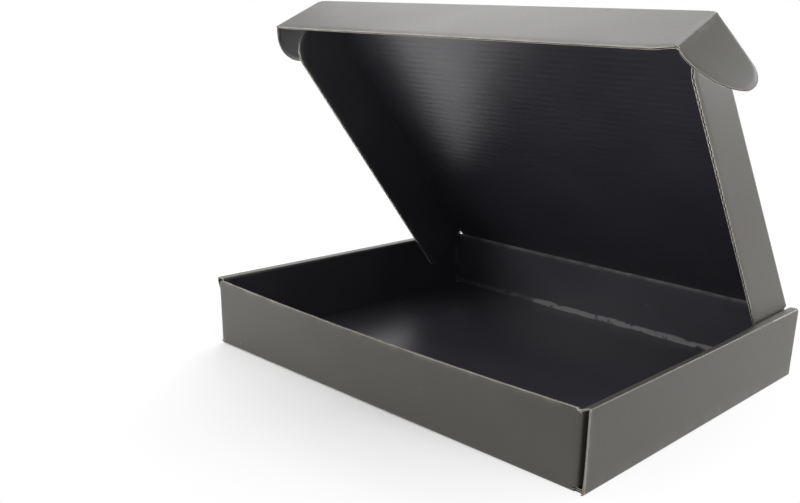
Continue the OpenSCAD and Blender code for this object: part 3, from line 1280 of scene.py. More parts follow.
    def sheet_run(self) -> tuple[Array, Array]:
        """Lines of the folded sheet's grid, from the left inner panel over the floor to the right one.

        Returns:
            Length of each line along the sheet, and how far it reaches to the front and back.
        """
        floor, fold, roll, drop = self.stations
        end = drop + self.roll_z - self.board.thickness
        run = mirrored(np.concatenate([
            np.linspace(0.0, self.floor_even, self.floor_lines),
            [self.floor_last],
            self.slot_run,
            [floor - self.fold_lead],
            floor + np.linspace(0.0, fold - floor, self.fold_lines),
            np.linspace(fold, roll, self.side_lines)[1:],
            roll + np.linspace(0.0, drop - roll, self.roll_lines)[1:],
            np.linspace(drop, end, self.inner_lines)[1:],
        ]))
        covered = roll + self.roll_cover * (drop - roll)
        knots = [0.0, floor - self.fold_lead, floor, roll, covered, drop, end]
        reach = [self.inside_d, self.inside_d, self.half_d, self.half_d, self.roll_end]
        return run, np.interp(np.abs(run), knots, reach + [self.inner_end, self.inner_end])

    def sheet(self) -> list[Patch]:
        """Floor and rolled sides: the cross-section carried from the front to the back.

        Each line of the section has its own reach, so y is that reach times an even parameter. Cells over the
        four slots are left out, and plain walls close the slots.

        Returns:
            The patches.
        """
        floor, fold, roll, drop = self.stations
        run, reach = self.sheet_run()
        lines = np.concatenate([np.linspace(0.0, self.inside_d, self.depth_lines), self.slot_span])
        lines = mirrored(np.unique(lines)) / self.inside_d
        along = np.repeat(run[:, None], len(lines), axis=1)
        across = reach[:, None] * lines[None, :]
        covered = (run < self.cover_room - floor) & (run > self.cover_room - roll)
        short = np.where(covered, 1.0 - self.left_recess / self.half_d, 1.0)[:, None]
        across = np.where(across < 0.0, across * short, across)
        out = np.abs(along)
        to_fold = out - 0.5 * (floor + fold)
        near = np.minimum(np.abs(to_fold), np.abs(out - 0.5 * (roll + drop)))
        dip = smooth((near - self.plain_from) / self.plain_over)
        to_rim = reach[:, None] * (1.0 - np.abs(lines)[None, :])
        rub_and_highlight = self.end_wear.fade(np.abs(to_rim)) * (out > floor)
        rub_and_highlight = np.maximum(rub_and_highlight, self.side_wear.bell(to_fold))
        press = self.end_crush.bell(to_rim) * smooth((out - floor) / self.end_press)
        half = self.board.crushed(self.crushed, press)
        middle = 0.5 * (np.abs(run[1:]) + np.abs(run[:-1]))
        # Painted shade: the roll's inner side and the inner panel face the tray with the sheet's outside
        # face, but take the tray's darker paper.
        painted_shade = middle > roll + self.roll_shade_from * (drop - roll)
        outer = np.where(painted_shade, Paper.TRAY.value, Paper.OUTSIDE.value)
        outer = np.repeat(outer[:, None], len(lines) - 1, axis=1)
        mid_y = np.abs(0.5 * (across[1:, 1:] + across[:-1, :-1]))
        first, last = self.slot_span
        in_slot = (np.abs(middle - self.slot_x) < self.slot_half)[:, None]
        in_slot = in_slot & (mid_y > first) & (mid_y < last)
        slab = Slab(self.board, self.place_sheet, along, across, half, outer=outer, inner=Paper.TRAY, dip=dip,
                    rub_and_highlight=rub_and_highlight, shift=self.board.half - half, keep=~in_slot)
        patches = slab.shell({**ALL_PLAIN, Rim.FIRST_COLUMN: Cut.GROOVE, Rim.LAST_COLUMN: Cut.GROOVE})
        for hand in Hand:
            for end in End:
                patches += self.slot_walls(slab, hand, end)
        return patches

    def slot_walls(self, slab: Slab, hand: Hand, end: End) -> list[Patch]:
        """The four cut walls of one slot in the floor.

        Args:
            slab: The floor's slab, whose grid lines run along the slot.
            hand: Side of the slot.
            end: Whether it lies to the front or the back.

        Returns:
            One patch per wall.
        """
        x = hand.value * slab.along[:, 0]
        rows = np.where((x > self.slot_run[0] - SAME) & (x < self.slot_run[1] + SAME))[0]
        y = end.value * slab.across[rows[0]]
        columns = np.where((y > self.slot_span[0] - SAME) & (y < self.slot_span[1] + SAME))[0]
        cut = np.ix_(rows, columns)
        hole = Slab(self.board, self.place_sheet, slab.along[cut], slab.across[cut], slab.half[cut],
                    dip=slab.dip[cut])
        walls = [hole.edge(rim, Cut.PLAIN) for rim in Rim]
        for wall in walls:
            wall.outward = -wall.outward
        return walls

    def place_wall(self, along: Array, across: Array, height: Array, end: End, bow: float) -> Array:
        """Point of the front or back wall with its corner folds and flaps.

        From the middle the wall runs along x, turns a quarter circle at each end and runs on as a flap inside
        the side wall. The front wall's left bend is pushed out over the side's edge and its right bend in,
        which eases back along the flaps. The bow pushes the wall outwards by a parabola along x that grows
        with the height.

        Args:
            along: Length along the wall, negative on the left.
            across: Height above the ground.
            height: Distance out of the middle of the board.
            end: Which wall it is.
            bow: How far the middle of the top edge stands out.

        Returns:
            Points in millimetres.
        """
        out = np.abs(along)
        radius = self.turn_r
        turn = np.clip((out - self.corner_x) / radius, 0.0, QUARTER)
        past = np.maximum(out - self.corner_x - QUARTER * radius, 0.0)
        x = np.minimum(out, self.corner_x) + (radius + height) * np.sin(turn)
        push = np.where(along < 0.0, self.left_over, -self.right_slit) * (end is End.FRONT)
        set_in = smooth((out - self.corner_x + self.push_ease) / self.push_ease)
        x = x + push * set_in * (1.0 - smooth(past / self.push_back))
        flat_y = self.half_d - self.board.half + height
        settle = smooth(turn / QUARTER)
        round_y = self.half_d - self.corner_r + (radius + height) * np.cos(turn) - past
        round_y = round_y - self.corner_ease * np.cos(turn) * (1.0 - settle)
        y = np.where(out < self.corner_x, flat_y, round_y)
        share = np.clip(1.0 - (out / self.corner_x) ** 2, 0.0, 1.0)
        rise = (across - self.board.thickness) / (self.front_top - self.board.thickness)
        y = y + bow * share * np.clip(rise, 0.0, self.bow_cap) ** self.bow_power
        return np.stack([np.sign(along) * x, end.value * y, across + 0.0 * x], axis=-1)

    def wall(self, end: End, top: float, bow: float) -> list[Patch]:
        """Front or back wall with corner flaps and the quarter-round fold down to the floor.

        Args:
            end: Which wall it is.
            top: Height of its upper edge.
            bow: How far the middle of the top edge stands out.

        Returns:
            The patches.
        """
        bend = QUARTER * self.turn_r
        run = mirrored(np.concatenate([
            np.linspace(0.0, self.corner_x - self.push_ease, self.wall_lines),
            self.corner_x - np.array(self.corner_lines),
            self.corner_x + np.linspace(0.0, bend, self.turn_lines),
            self.corner_x + bend + np.linspace(self.flap_from, self.corner_flap, self.flap_lines),
        ]))
        ease = smooth((np.abs(run) - self.corner_x + self.corner_step) / (2.0 * self.corner_step))
        base = self.board.thickness + (self.fold_base - self.board.thickness) * ease
        head = top + (min(self.under_roll, top) - top) * ease
        share = np.linspace(0.0, 1.0, self.wall_rows)
        across = base[:, None] + (head - base)[:, None] * share[None, :]
        along = np.repeat(run[:, None], len(share), axis=1)
        to_top = head[:, None] - across
        on_wall = 1.0 - ease[:, None]
        press = self.top_crush.bell(to_top) * on_wall * (1.0 if end is End.FRONT else self.hinge_press)
        lost = self.board.half - self.top_crushed
        half = self.board.half - self.flap_thinner * ease[:, None] - lost * press
        corner = self.bend_worn.bell(np.abs(along) - self.corner_x - self.bend_worn_at * bend)
        rub_and_highlight = np.maximum(self.top_wear.fade(to_top), np.where(along < 0.0, *self.bend_wear) * corner)
        # Painted highlight along the back wall's bottom crease, on its inner face.
        painted_highlight = self.scuff.wear(along, across) if end is End.BACK else 0.0
        dip = smooth((across - base[:, None]) / self.wall_plain) * on_wall
        place = partial(self.place_wall, end=end, bow=bow)
        slab = Slab(self.board, place, along, across, half, inner=Paper.TRAY, dip=dip, rub_and_highlight=rub_and_highlight,
                    inner_rub_and_highlight=np.maximum(rub_and_highlight, painted_highlight), shift=lost * press)
        upper = Cut.GROOVE if end is End.FRONT else Cut.PLAIN
        return slab.shell({**ALL_PLAIN, Rim.LAST_COLUMN: upper}) + self.bottom_fold(end)

    def bottom_fold(self, end: End) -> list[Patch]:
        """Quarter round between a wall and the floor: a quarter circle carried along x.

        Args:
            end: Which wall it belongs to.

        Returns:
            The patches.
        """
        ends = (self.fold_past, self.fold_past)
        if end is End.FRONT:
            ends = (self.left_over + self.fold_over, self.fold_past - self.right_slit)
        x = np.linspace(-self.corner_x - ends[0], self.corner_x + ends[1], self.bottom_lines)
        turn, x = np.meshgrid(np.linspace(0.0, QUARTER, self.turn_lines), x, indexing="ij")
        half = 0.5 * (self.board.thickness - self.fold_r)
        middle = half + self.fold_r

        def place(along: Array, across: Array, height: Array) -> Array:
            """Point at a turn about the corner line, across being that turn spread over flutes.

            Args:
                along: x.
                across: Length over the flutes.
                height: Distance out of the middle of the board.

            Returns:
                Points in millimetres.
            """
            angle = across / self.board.pitch / FOLD_FLUTES
            reach = middle + height
            y = self.inside_d + reach * np.sin(angle)
            z = self.board.thickness - reach * np.cos(angle)
            return np.stack([along + 0.0 * y, end.value * y, z], axis=-1)

        rub_and_highlight = self.bottom_wear.bell(turn - 0.5 * QUARTER)
        across = turn * self.board.pitch * FOLD_FLUTES
        slab = Slab(self.board, place, x, across, half, inner=Paper.TRAY, dip=0.0, rub_and_highlight=rub_and_highlight)
        return slab.shell(ALL_PLAIN)

    def place_tab(self, along: Array, across: Array, height: Array, hand: Hand) -> Array:
        """Point of a lock tab upright in its slot: down from its start, at y, and out of the board."""
        z = self.board.thickness + self.tab_sink - along + 0.0 * height
        return np.stack([hand.value * (self.slot_x - height), across + 0.0 * height, z], axis=-1)

    def tabs(self) -> list[Patch]:
        """Lock tabs: short ends of the inner panels that stand in the floor's slots.

        Returns:
            The patches of all four.
        """
        patches: list[Patch] = []
        drop = np.array([0.0, self.tab_step, self.board.thickness - self.tab_room + self.tab_sink])
        for hand in Hand:
            for end in End:
                y = end.value * self.tab_at + np.linspace(-self.tab_half, self.tab_half, self.tab_lines)
                along, across = np.meshgrid(drop, y, indexing="ij")
                slab = Slab(self.board, partial(self.place_tab, hand=hand), along, across, self.board.half,
                            outer=Paper.INSIDE, dip=0.0)
                patches += slab.shell(ALL_PLAIN)
        return patches

    def build(self) -> Sheetwork:
        """Gathers the whole tray.

        Returns:
            The tray's patches as one piece.
        """
        work = Sheetwork("folded_tray")
        work.add(self.sheet())
        work.add(self.wall(End.FRONT, self.front_top, self.front_bow))
        work.add(self.wall(End.BACK, self.back_top, 0.0))
        work.add(self.tabs())
        return work


@dataclass
class Lid:
    """Flat lid on its hinge crease, with the outer paper that wraps over the dust flaps' creases.

    Attributes:
        board: The board.
        hinge_y, hinge_z: y and height of the hinge.
        opened: Angle between the lid and the ground.
        length: Distance from the hinge to the tuck front's crease.
        half_width, carry: Half of the flat panel's width, and how far it ends before the tuck front's crease.
        dust_axis: x of the dust flaps' creases.
        dust_rear: Distance from the hinge to a dust flap, and from a flap to the tuck front's crease.
        warp, ripple: Height of the lid's slow dome, and the share of it that ripples.
        ripple_x, ripple_y: Turn and phase of the ripple's waves over the width and the length.
        rim_band, middle_half, rows: Width of the grid's finer sides, half of its even part, and its rows.
        rim_lines, middle_lines: Lines of the grid in each of those.
        inner_share: Share of the wear on the inner face.
        dip: Mean washboard, and how far it varies.
        patch_x, patch_y: Length of its uneven patches, and how far and over what length their phase wanders.
        wrap_r, wrap_turn: Radii of the paper over a dust flap's crease, and the angle that it starts at.
        wrap_lines, wrap_rows: Lines over that paper's turn, and along it.
        wrap_wear, wrap_worn_at: Wear on that paper over an angle, and its place, both in radians.
    """

    board: Board
    hinge_y: float = 158.5
    hinge_z: float = 62.0
    opened: float = 51.0
    length: float = 313.5
    half_width: float = 196.0
    carry: float = 1.8
    dust_axis: float = 196.3
    dust_rear: float = 5.0
    warp: float = 0.7
    ripple: float = 0.6
    ripple_x: Pair = (5.3, 1.1)
    ripple_y: Pair = (4.1, 0.4)
    rim_band: float = 12.0
    middle_half: float = 178.0
    rim_lines: int = 5
    middle_lines: int = 61
    rows: int = 500
    hinge_wear: Falloff = Falloff(0.5, 2.5)
    crease_wear: Falloff = Falloff(0.3, 2.0)
    inner_share: float = 0.15
    dip: Pair = (2.6, 2.5)
    patch_x: tuple[float, float, float] = (8.0, 2.1, 7.3)
    patch_y: tuple[float, float, float] = (11.7, 1.9, 31.0)
    plain_from: float = 1.0
    plain_over: float = 7.0
    wrap_r: Pair = (2.7, 2.99)
    wrap_turn: float = 96.0
    wrap_lines: int = 13
    wrap_rows: int = 9
    wrap_wear: Falloff = Falloff(0.75, 0.45)
    wrap_worn_at: float = 0.8

    @property
    def dust_run(self) -> Pair:
        """Where a dust flap starts and ends, from the hinge."""
        return self.dust_rear, self.length - self.dust_rear

    def place(self, along: Array, across: Array, height: Array) -> Array:
        """Point of the open lid.

        The flat lid is turned about the hinge by its opening angle. A slow dome and ripple, a product of
        sines that is nothing on all four creases, bends it a little.

        Args:
            along: x.
            across: Distance from the hinge.
            height: Distance out of the middle of the board, positive outside.

        Returns:
            Points in millimetres.
        """
        wide = np.clip((along + self.half_width) / (2.0 * self.half_width), 0.0, 1.0)
        far = np.clip(across / self.length, 0.0, 1.0)
        ripple = self.ripple * np.sin(self.ripple_x[0] * wide + self.ripple_x[1])
        ripple = 1.0 + ripple * np.cos(self.ripple_y[0] * far + self.ripple_y[1])
        bend = np.sin(np.pi * wide) * np.sin(np.pi * far) * ripple
        lift = height + self.warp * bend
        angle = math.radians(self.opened)
        y = self.hinge_y - across * math.cos(angle) + lift * math.sin(angle)
        z = self.hinge_z + across * math.sin(angle) + lift * math.cos(angle)
        return np.stack([along + 0.0 * y, y, z], axis=-1)

    def panel(self) -> list[Patch]:
        """The panel: its rear end is the round bead of the hinge, where the half thickness follows a circle.

        The washboard is uneven by two crossed sines whose phases wander.

        Returns:
            The patches.
        """
        half = self.board.half
        front = self.length - self.carry
        across = np.concatenate([bead_steps(half, BEAD_STEPS), np.linspace(0.0, front, self.rows)[1:]])
        thick = np.where(across < 0.0, bead_half(half, across), half)
        side = np.linspace(self.half_width - self.rim_band, self.half_width, self.rim_lines)
        middle = np.linspace(-self.middle_half, self.middle_half, self.middle_lines)
        x = np.concatenate([-side[::-1], middle, side])
        across, along = np.meshgrid(across, x, indexing="ij")
        size, turn, length = self.patch_x
        uneven = np.sin(along / size + turn * np.sin(across / length))
        size, turn, length = self.patch_y
        uneven = uneven * np.sin(across / size + turn * np.sin(along / length))
        to_crease = np.minimum(np.minimum(self.half_width - np.abs(along), across), front - across)
        rub_and_highlight = np.maximum(self.hinge_wear.fade(np.maximum(across, 0.0)), self.crease_wear.fade(to_crease))
        dip = self.dip[0] + self.dip[1] * uneven
        dip = dip * smooth((to_crease - self.plain_from) / self.plain_over)
        slab = Slab(self.board, self.place, along, across, thick[:, None], dip=dip, rub_and_highlight=rub_and_highlight,
                    inner_rub_and_highlight=self.inner_share * rub_and_highlight)
        return slab.shell(BEAD_CUTS)

    def side_wrap(self, hand: Hand) -> list[Patch]:
        """Outer paper bent over one dust flap's crease: a ring's arc carried along the crease line.

        Args:
            hand: Side of the flap.

        Returns:
            The patches of the closed strip.
        """
        low, high = self.wrap_r
        middle = 0.5 * (low + high)

        def place(turn: Array, run: Array, height: Array) -> Array:
            """Point at a turn about the crease, a length along it and a height out of the strip's middle.

            Args:
                turn: Angle in radians, a right angle being level with the lid.
                run: Distance from the hinge.
                height: Distance out of the strip's middle.

            Returns:
                Points in millimetres.
            """
            reach = middle + height
            x = hand.value * (self.dust_axis + reach * np.cos(turn))
            return self.place(x, run, reach * np.sin(turn) - self.board.half)

        turn = np.radians(np.linspace(self.wrap_turn, 0.0, self.wrap_lines))
        turn, run = np.meshgrid(turn, np.linspace(*self.dust_run, self.wrap_rows), indexing="ij")
        rub_and_highlight = self.wrap_wear.bell(turn - self.wrap_worn_at)
        slab = Slab(self.board, place, turn, run, 0.5 * (high - low), inner=Paper.LINER, dip=0.0, rub_and_highlight=rub_and_highlight)
        return slab.shell(ALL_PLAIN)

    def build(self) -> Sheetwork:
        """Gathers the lid.

        Returns:
            The lid's patches as one piece.
        """
        work = Sheetwork("lid_panel")
        work.add(self.panel())
        for hand in Hand:
            work.add(self.side_wrap(hand))
        return work


@dataclass
class TuckFront:
    """Panel on the lid's front edge, with its free edge cut along the flutes.

    Attributes:
        board, lid: The board, and the lid that carries the panel.
        fold: Fold angle from the lid's plane.
        reach, half_width: Distance from the crease to the free edge, and half of the width.
        ear_axis: x of the ears' creases.
        bead: Radius of the bead in the crease.
        notch, notch_step: Where the full thickness starts past the crease, and the step up to it.
        left_rise, right_rise: How far the free edge is raised at each end.
        rise_from, rise_over: x where it starts to rise, and the length over which it does.
        crushed, crush_out: Half thickness at the free edge, and the share of the loss that moves it out.
        end_from, middle_half, rows: Where the grid's finer ends start, half of its even part, and its rows.
        end_lines, middle_lines: Lines of the grid in each of those.
        dip: Share of the washboard.
        lap: How far the strip over the crease overlaps the lid's flat panel.
    """

    board: Board
    lid: Lid
    fold: float = 76.0
    reach: float = 56.0
    half_width: float = 200.7
    ear_axis: float = 202.5
    bead: float = 1.2
    notch: float = 0.3
    notch_step: float = 0.02
    left_rise: float = 0.5
    right_rise: float = 3.6
    rise_from: float = 184.0
    rise_over: float = 17.0
    crushed: float = 0.72
    crush_out: float = 0.6
    end_from: float = 182.0
    middle_half: float = 174.0
    end_lines: int = 12
    middle_lines: int = 25
    rows: int = 100
    edge_wear: Falloff = Falloff(0.9, 1.5)
    end_wear: Falloff = Falloff(0.4, 1.8)
    edge_crush: Falloff = Falloff(1.0, 3.0)
    dip: float = 0.45
    plain_over: float = 7.0
    lap: float = 0.1

    def corner(self, hand: Hand) -> float:
        """Where the free edge meets one ear's crease, below the lid's crease."""
        return self.reach - (self.left_rise if hand is Hand.LEFT else self.right_rise)

    def place(self, along: Array, across: Array, height: Array) -> Array:
        """Point of the tuck front: turned about its crease on the lid by the fold angle.

        Args:
            along: x.
            across: Distance from the crease.
            height: Distance out of the middle of the board.

        Returns:
            Points in millimetres.
        """
        angle = math.radians(self.fold)
        distance = self.lid.length + across * math.cos(angle) + height * math.sin(angle)
        return self.lid.place(along, distance, height * math.cos(angle) - across * math.sin(angle))

    def panel(self) -> list[Patch]:
        """The panel, its crease end a round bead and its free edge a groove between the liners.

        Returns:
            The patches.
        """
        bead = np.append(bead_steps(self.bead, BEAD_STEPS - 1), self.notch - self.notch_step)
        across = np.concatenate([bead, np.linspace(self.notch, self.reach, self.rows)])
        in_bead = np.arange(len(across)) < len(bead)
        thick = np.where(in_bead, bead_half(self.bead, np.minimum(across, 0.0)), self.board.half)[:, None]
        end = np.linspace(self.end_from, self.half_width, self.end_lines)
        middle = np.linspace(-self.middle_half, self.middle_half, self.middle_lines)
        x = np.concatenate([-end[::-1], middle, end])
        across, along = np.meshgrid(across, x, indexing="ij")
        to_edge = self.reach - across
        to_end = np.minimum(self.half_width - np.abs(along), np.maximum(across, 0.0))
        rub_and_highlight = np.maximum(self.edge_wear.fade(to_edge), self.end_wear.fade(to_end))
        half = thick * (1.0 - (1.0 - self.crushed / self.board.half) * self.edge_crush.bell(to_edge))
        rise = np.where(along < 0.0, self.left_rise, self.right_rise)
        rise = rise * smooth((np.abs(along) - self.rise_from) / self.rise_over)
        across = across * (1.0 - rise / self.reach * (across > 0.0))
        dip = self.dip * smooth(to_end / self.plain_over)
        slab = Slab(self.board, self.place, along, across, half, dip=dip, rub_and_highlight=rub_and_highlight,
                    shift=self.crush_out * (thick - half))
        return slab.shell({Rim.LAST_ROW: Cut.GROOVE, Rim.FIRST_COLUMN: Cut.OPEN_FLUTES,
                           Rim.LAST_COLUMN: Cut.OPEN_FLUTES})

    def crease_place(self, out: Array, run: Array, up: Array) -> Array:
        """Point of the lid past its front crease, at x and out of the board."""
        return self.lid.place(run, self.lid.length + out, up)

    def crease(self) -> Crease:
        """The strip between the lid and this panel.

        Returns:
            The strip, not built yet.
        """
        run = (-self.lid.half_width, self.lid.half_width)
        return Crease(self.board, "tuck_crease", ("lid", "tuck_front"), self.crease_place, self.fold, run,
                      lap=self.lid.carry + self.lap)

    def build(self) -> Sheetwork:
        """Gathers the tuck front.

        Returns:
            The panel's patches as one piece.
        """
        work = Sheetwork("tuck_panel")
        work.add(self.panel())
        return work


@dataclass
class Ear:
    """Rounded ear on one end of the tuck front.

    Attributes:
        board, tuck, hand: The board, the tuck front that carries the ear, and the ear's side.
        fold: Fold angle from the tuck front's plane.
        reach: Distance from the crease to the tip.
        tip_r, tip_v: Radius of the tip, and distance of its centre below the lid's crease.
        top_slope: Slope of the upper edge.
        low_r: Radius of the wide lower arc.
        root_r, root_up: Radius of the circle that this arc ends on, and its room to the free edge.
        root_from, root_gap: Least start of the ear's crease, and how far it ends before the free edge.
        root_pull: How far the bend at the root is drawn out.
        tip_points, low_points, root_points: Points of the arcs and of the bend, before they are spaced.
        spacing: Distance between points of the outline.
        bead, notch: Radius of the bead in the crease, and where the panel starts past it.
        crushed, crush_out: Half thickness at the cut edge, and the share of the loss that moves it out.
        cup, cup_cap: How far the tip is bent inwards, and the greatest share of the reach that counts for it.
        dip: Share of the washboard.
        lap: How far the strip over the crease reaches onto the tuck front.
    """

    board: Board
    tuck: TuckFront
    hand: Hand
    fold: float
    reach: float = 51.0
    tip_r: float = 14.5
    tip_v: float = 24.5
    top_slope: float = 11.5
    low_r: float = 50.0
    root_r: float = 8.0
    root_up: float = 1.0
    root_from: float = 1.5
    root_gap: float = 0.2
    root_pull: float = 4.5
    tip_points: int = 50
    low_points: int = 60
    root_points: int = 20
    spacing: float = 0.45
    bead: float = 1.2
    notch: float = 0.3
    crushed: float = 0.7
    crush_out: float = 0.6
    cup: float = 0.9
    cup_cap: float = 1.2
    edge_wear: Falloff = Falloff(0.7, 1.2)
    crease_wear: Falloff = Falloff(0.4, 1.5)
    edge_crush: Falloff = Falloff(1.0, 2.6)
    bead_wear: float = 0.3
    dip: float = 0.3
    plain_from: float = 1.0
    plain_over: float = 6.0
    lap: float = 1.5

    @property
    def root(self) -> Pair:
        """Where the crease starts and ends, below the lid's crease.

        Returns:
            Start, where the line of the upper edge meets the crease, and end.
        """
        slope = math.radians(self.top_slope)
        out = self.reach - self.tip_r + self.tip_r * math.sin(slope)
        top = self.tip_v - self.tip_r * math.cos(slope) - out * math.tan(slope)
        return max(self.root_from, top), self.tuck.corner(self.hand) - self.root_gap

    def outline(self) -> Array:
        """Outline round the tip: a straight edge, the tip's arc, a wide arc and a bend into the root.

        The wide arc's circle touches the tip's circle and the root's, so its centre lies where the two
        differences of radii meet, on the ear's side of their centres. The bend is a quadratic curve into the
        tuck front's free edge.

        Returns:
            Points as distance out from the crease and distance below the lid's crease.
        """
        first, last = self.root
        tip = np.array([self.reach - self.tip_r, self.tip_v])
        root = np.array([self.root_r, self.tuck.reach - self.root_r - self.root_up])
        apart = float(np.linalg.norm(root - tip))
        way = (root - tip) / apart
        to_tip, to_root = self.low_r - self.tip_r, self.low_r - self.root_r
        part = (to_tip ** 2 - to_root ** 2 + apart ** 2) / (2.0 * apart)
        low = tip + part * way + math.sqrt(to_tip ** 2 - part ** 2) * np.array([-way[1], way[0]])
        start = math.degrees(math.atan2(*(tip - low)[::-1]))
        end = math.degrees(math.atan2(*(root - low)[::-1]))
        wide = arc(tuple(low), self.low_r, start, end, self.low_points)[1:]
        step = np.linspace(0.0, 1.0, self.root_points)[1:, None]
        pulled = wide[-1] - [self.root_pull, 0.0]
        foot = np.array([self.notch, last])
        bend = (1.0 - step) ** 2 * wide[-1] + 2.0 * step * (1.0 - step) * pulled + step ** 2 * foot
        head = np.array([[self.notch, first]])
        round_tip = arc(tuple(tip), self.tip_r, self.top_slope - 90.0, start, self.tip_points)
        return resample(np.concatenate([head, round_tip, wide, bend]), self.spacing)

    def place(self, along: Array, across: Array, height: Array) -> Array:
        """Point of the ear: turned about its crease on the tuck front by the fold angle, slightly cupped.

        Args:
            along: Distance out from the crease.
            across: Distance below the lid's crease.
            height: Distance out of the middle of the board.

        Returns:
            Points in millimetres.
        """
        angle = math.radians(self.fold)
        lift = height - self.cup * np.clip(along / self.reach, 0.0, self.cup_cap) ** 2
        x = self.tuck.ear_axis + along * math.cos(angle) + lift * math.sin(angle)
        return self.tuck.place(self.hand.value * x, across, lift * math.cos(angle) - along * math.sin(angle))

    def build(self) -> Sheetwork:
        """Gathers the ear: rows run from the crease line to the outline, and a bead closes the crease.

        Returns:
            The ear's patches as one piece.
        """
        grid, to_rim = fan(self.notch, self.root, self.outline())
        along, across = grid[..., 0], grid[..., 1]
        rub_and_highlight = np.maximum(self.edge_wear.fade(to_rim), self.crease_wear.fade(along))
        half = self.board.crushed(self.crushed, self.edge_crush.bell(to_rim))
        dip = self.dip * smooth((along - self.plain_from) / self.plain_over)
        slab = Slab(self.board, self.place, along, across, half, dip=dip, rub_and_highlight=rub_and_highlight,
                    shift=self.crush_out * (self.board.half - half))
        work = Sheetwork(f"{self.hand.word}_ear_panel")
        work.add(slab.shell(FAN_CUTS))
        out, run = bead_grid(self.bead, self.root)
        bead = Slab(self.board, self.place, out, run, bead_half(self.bead, out), dip=0.0, rub_and_highlight=self.bead_wear)
        work.add(bead.shell(BEAD_CUTS))
        return work

    def crease_place(self, out: Array, run: Array, up: Array) -> Array:
        """Point of the tuck front past the ear's crease, below the lid's crease and out of the board."""
        return self.tuck.place(self.hand.value * (self.tuck.ear_axis + out), run, up)

    def crease(self) -> Crease:
        """The strip between the tuck front and this ear.

        Returns:
            The strip, not built yet.
        """
        name = f"{self.hand.word}_ear"
        lap = self.tuck.ear_axis - self.tuck.half_width + self.lap
        bodies = ("tuck_front", name)
        return Crease(self.board, f"{name}_crease", bodies, self.crease_place, self.fold, self.root, lap)


@dataclass
class DustFlap:
    """Flap along one side of the lid, its free edge cut across the flutes.

    Attributes:
        board, lid, hand: The board, the lid that carries the flap, and the flap's side.
        rear_h, front_h: Heights of the free edge at its rear and front end.
        front_r, rear_r: Radii of the front and rear corner.
        front_points, rear_points: Points of their arcs, before they are spaced.
        spacing: Distance between points of the outline.
        bead: Radius of the bead in the crease.
        crushed: Half thickness at the cut edge.
    """

    board: Board
    lid: Lid
    hand: Hand
    rear_h: float
    front_h: float
    front_r: float = 22.0
    rear_r: float = 6.0
    front_points: int = 70
    rear_points: int = 30
    spacing: float = 0.508
    bead: float = 2.65
    crushed: float = 1.1
    edge_wear: Falloff = Falloff(0.7, 1.2)
    crease_wear: Falloff = Falloff(0.04, 1.8)
    edge_crush: Falloff = Falloff(1.0, 2.2)
    plain_from: float = 1.0
    plain_over: float = 7.0

    def outline(self) -> Array:
        """Outline from the rear end of the crease over the free edge to its front end.

        The free edge is straight from the rear height to the front height, and an arc rounds each end.

        Returns:
            Points as height off the crease and distance from the hinge.
        """
        rear, front = self.lid.dust_run
        lean = (self.rear_h - self.front_h) / (front - rear)
        unit = math.hypot(1.0, lean)
        tilt = math.degrees(math.atan(lean))
        front_c = (self.front_h + lean * self.front_r - self.front_r * unit, front - self.front_r)
        rear_c = (self.front_h + lean * (front - rear - self.rear_r) - self.rear_r * unit, rear + self.rear_r)
        line = [np.array([[0.0, rear]]), arc(rear_c, self.rear_r, -90.0, tilt, self.rear_points),
                arc(front_c, self.front_r, tilt, 90.0, self.front_points), np.array([[0.0, front]])]
        return resample(np.concatenate(line), self.spacing)

    def place(self, along: Array, across: Array, height: Array) -> Array:
        """Point of the flap, square to the lid: off its crease, from the hinge, and out of the board."""
        x = self.hand.value * (self.lid.dust_axis + self.board.half + height)
        return self.lid.place(x, across, -self.board.half - along)

    def place_bead(self, along: Array, across: Array, height: Array) -> Array:
        """Point of the bead, a quarter round whose inner face stays level with the flap's."""
        middle = 0.5 * bead_half(self.bead, along)
        return self.place(along, across, height - self.board.half + middle)

    def build(self) -> Sheetwork:
        """Gathers the flap: rows run from the crease line to the outline, and a bead closes the crease.

        Returns:
            The flap's patches as one piece.
        """
        grid, to_rim = fan(0.0, self.lid.dust_run, self.outline())
        along, across = grid[..., 0], grid[..., 1]
        rub_and_highlight = np.maximum(self.edge_wear.fade(to_rim), self.crease_wear.fade(along))
        half = self.board.crushed(self.crushed, self.edge_crush.bell(to_rim))
        dip = smooth((along - self.plain_from) / self.plain_over)
        slab = Slab(self.board, self.place, along, across, half, dip=dip, rub_and_highlight=rub_and_highlight)
        work = Sheetwork(f"{self.hand.word}_dust_panel")
        work.add(slab.shell(FAN_CUTS))
        out, run = bead_grid(self.bead, self.lid.dust_run)
        thick = 0.5 * bead_half(self.bead, out)
        bead = Slab(self.board, self.place_bead, out, run, thick, dip=0.0, rub_and_highlight=self.crease_wear.amount)
        work.add(bead.shell(BEAD_CUTS))
        return work


@dataclass(frozen=True)
class Softbox:
    """A rectangular studio lamp.

    Attributes:
        name: Object name.
        at: Place in metres.
        aim: Point that it faces.
        size: Width and height in metres.
        power: Power in watts.
    """

    name: str
    at: Point
    aim: Point
    size: Pair
    power: float

    def light(self) -> bpy.types.Object:
        """Sets the lamp up, facing its aim.

        Returns:
            The lamp's object.
        """
        data = bpy.data.lights.new(self.name, "AREA")
        data.shape = "RECTANGLE"
        data.size, data.size_y = self.size
        data.energy = self.power
        lamp = bpy.data.objects.new(self.name, data)
        lamp.location = self.at
        towards = np.array(self.aim) - np.array(self.at)
        tilt = math.atan2(math.hypot(towards[0], towards[1]), -towards[2])
        lamp.rotation_euler = Euler((tilt, 0.0, math.atan2(-towards[0], towards[1])))
        bpy.context.scene.collection.objects.link(lamp)
        return lamp


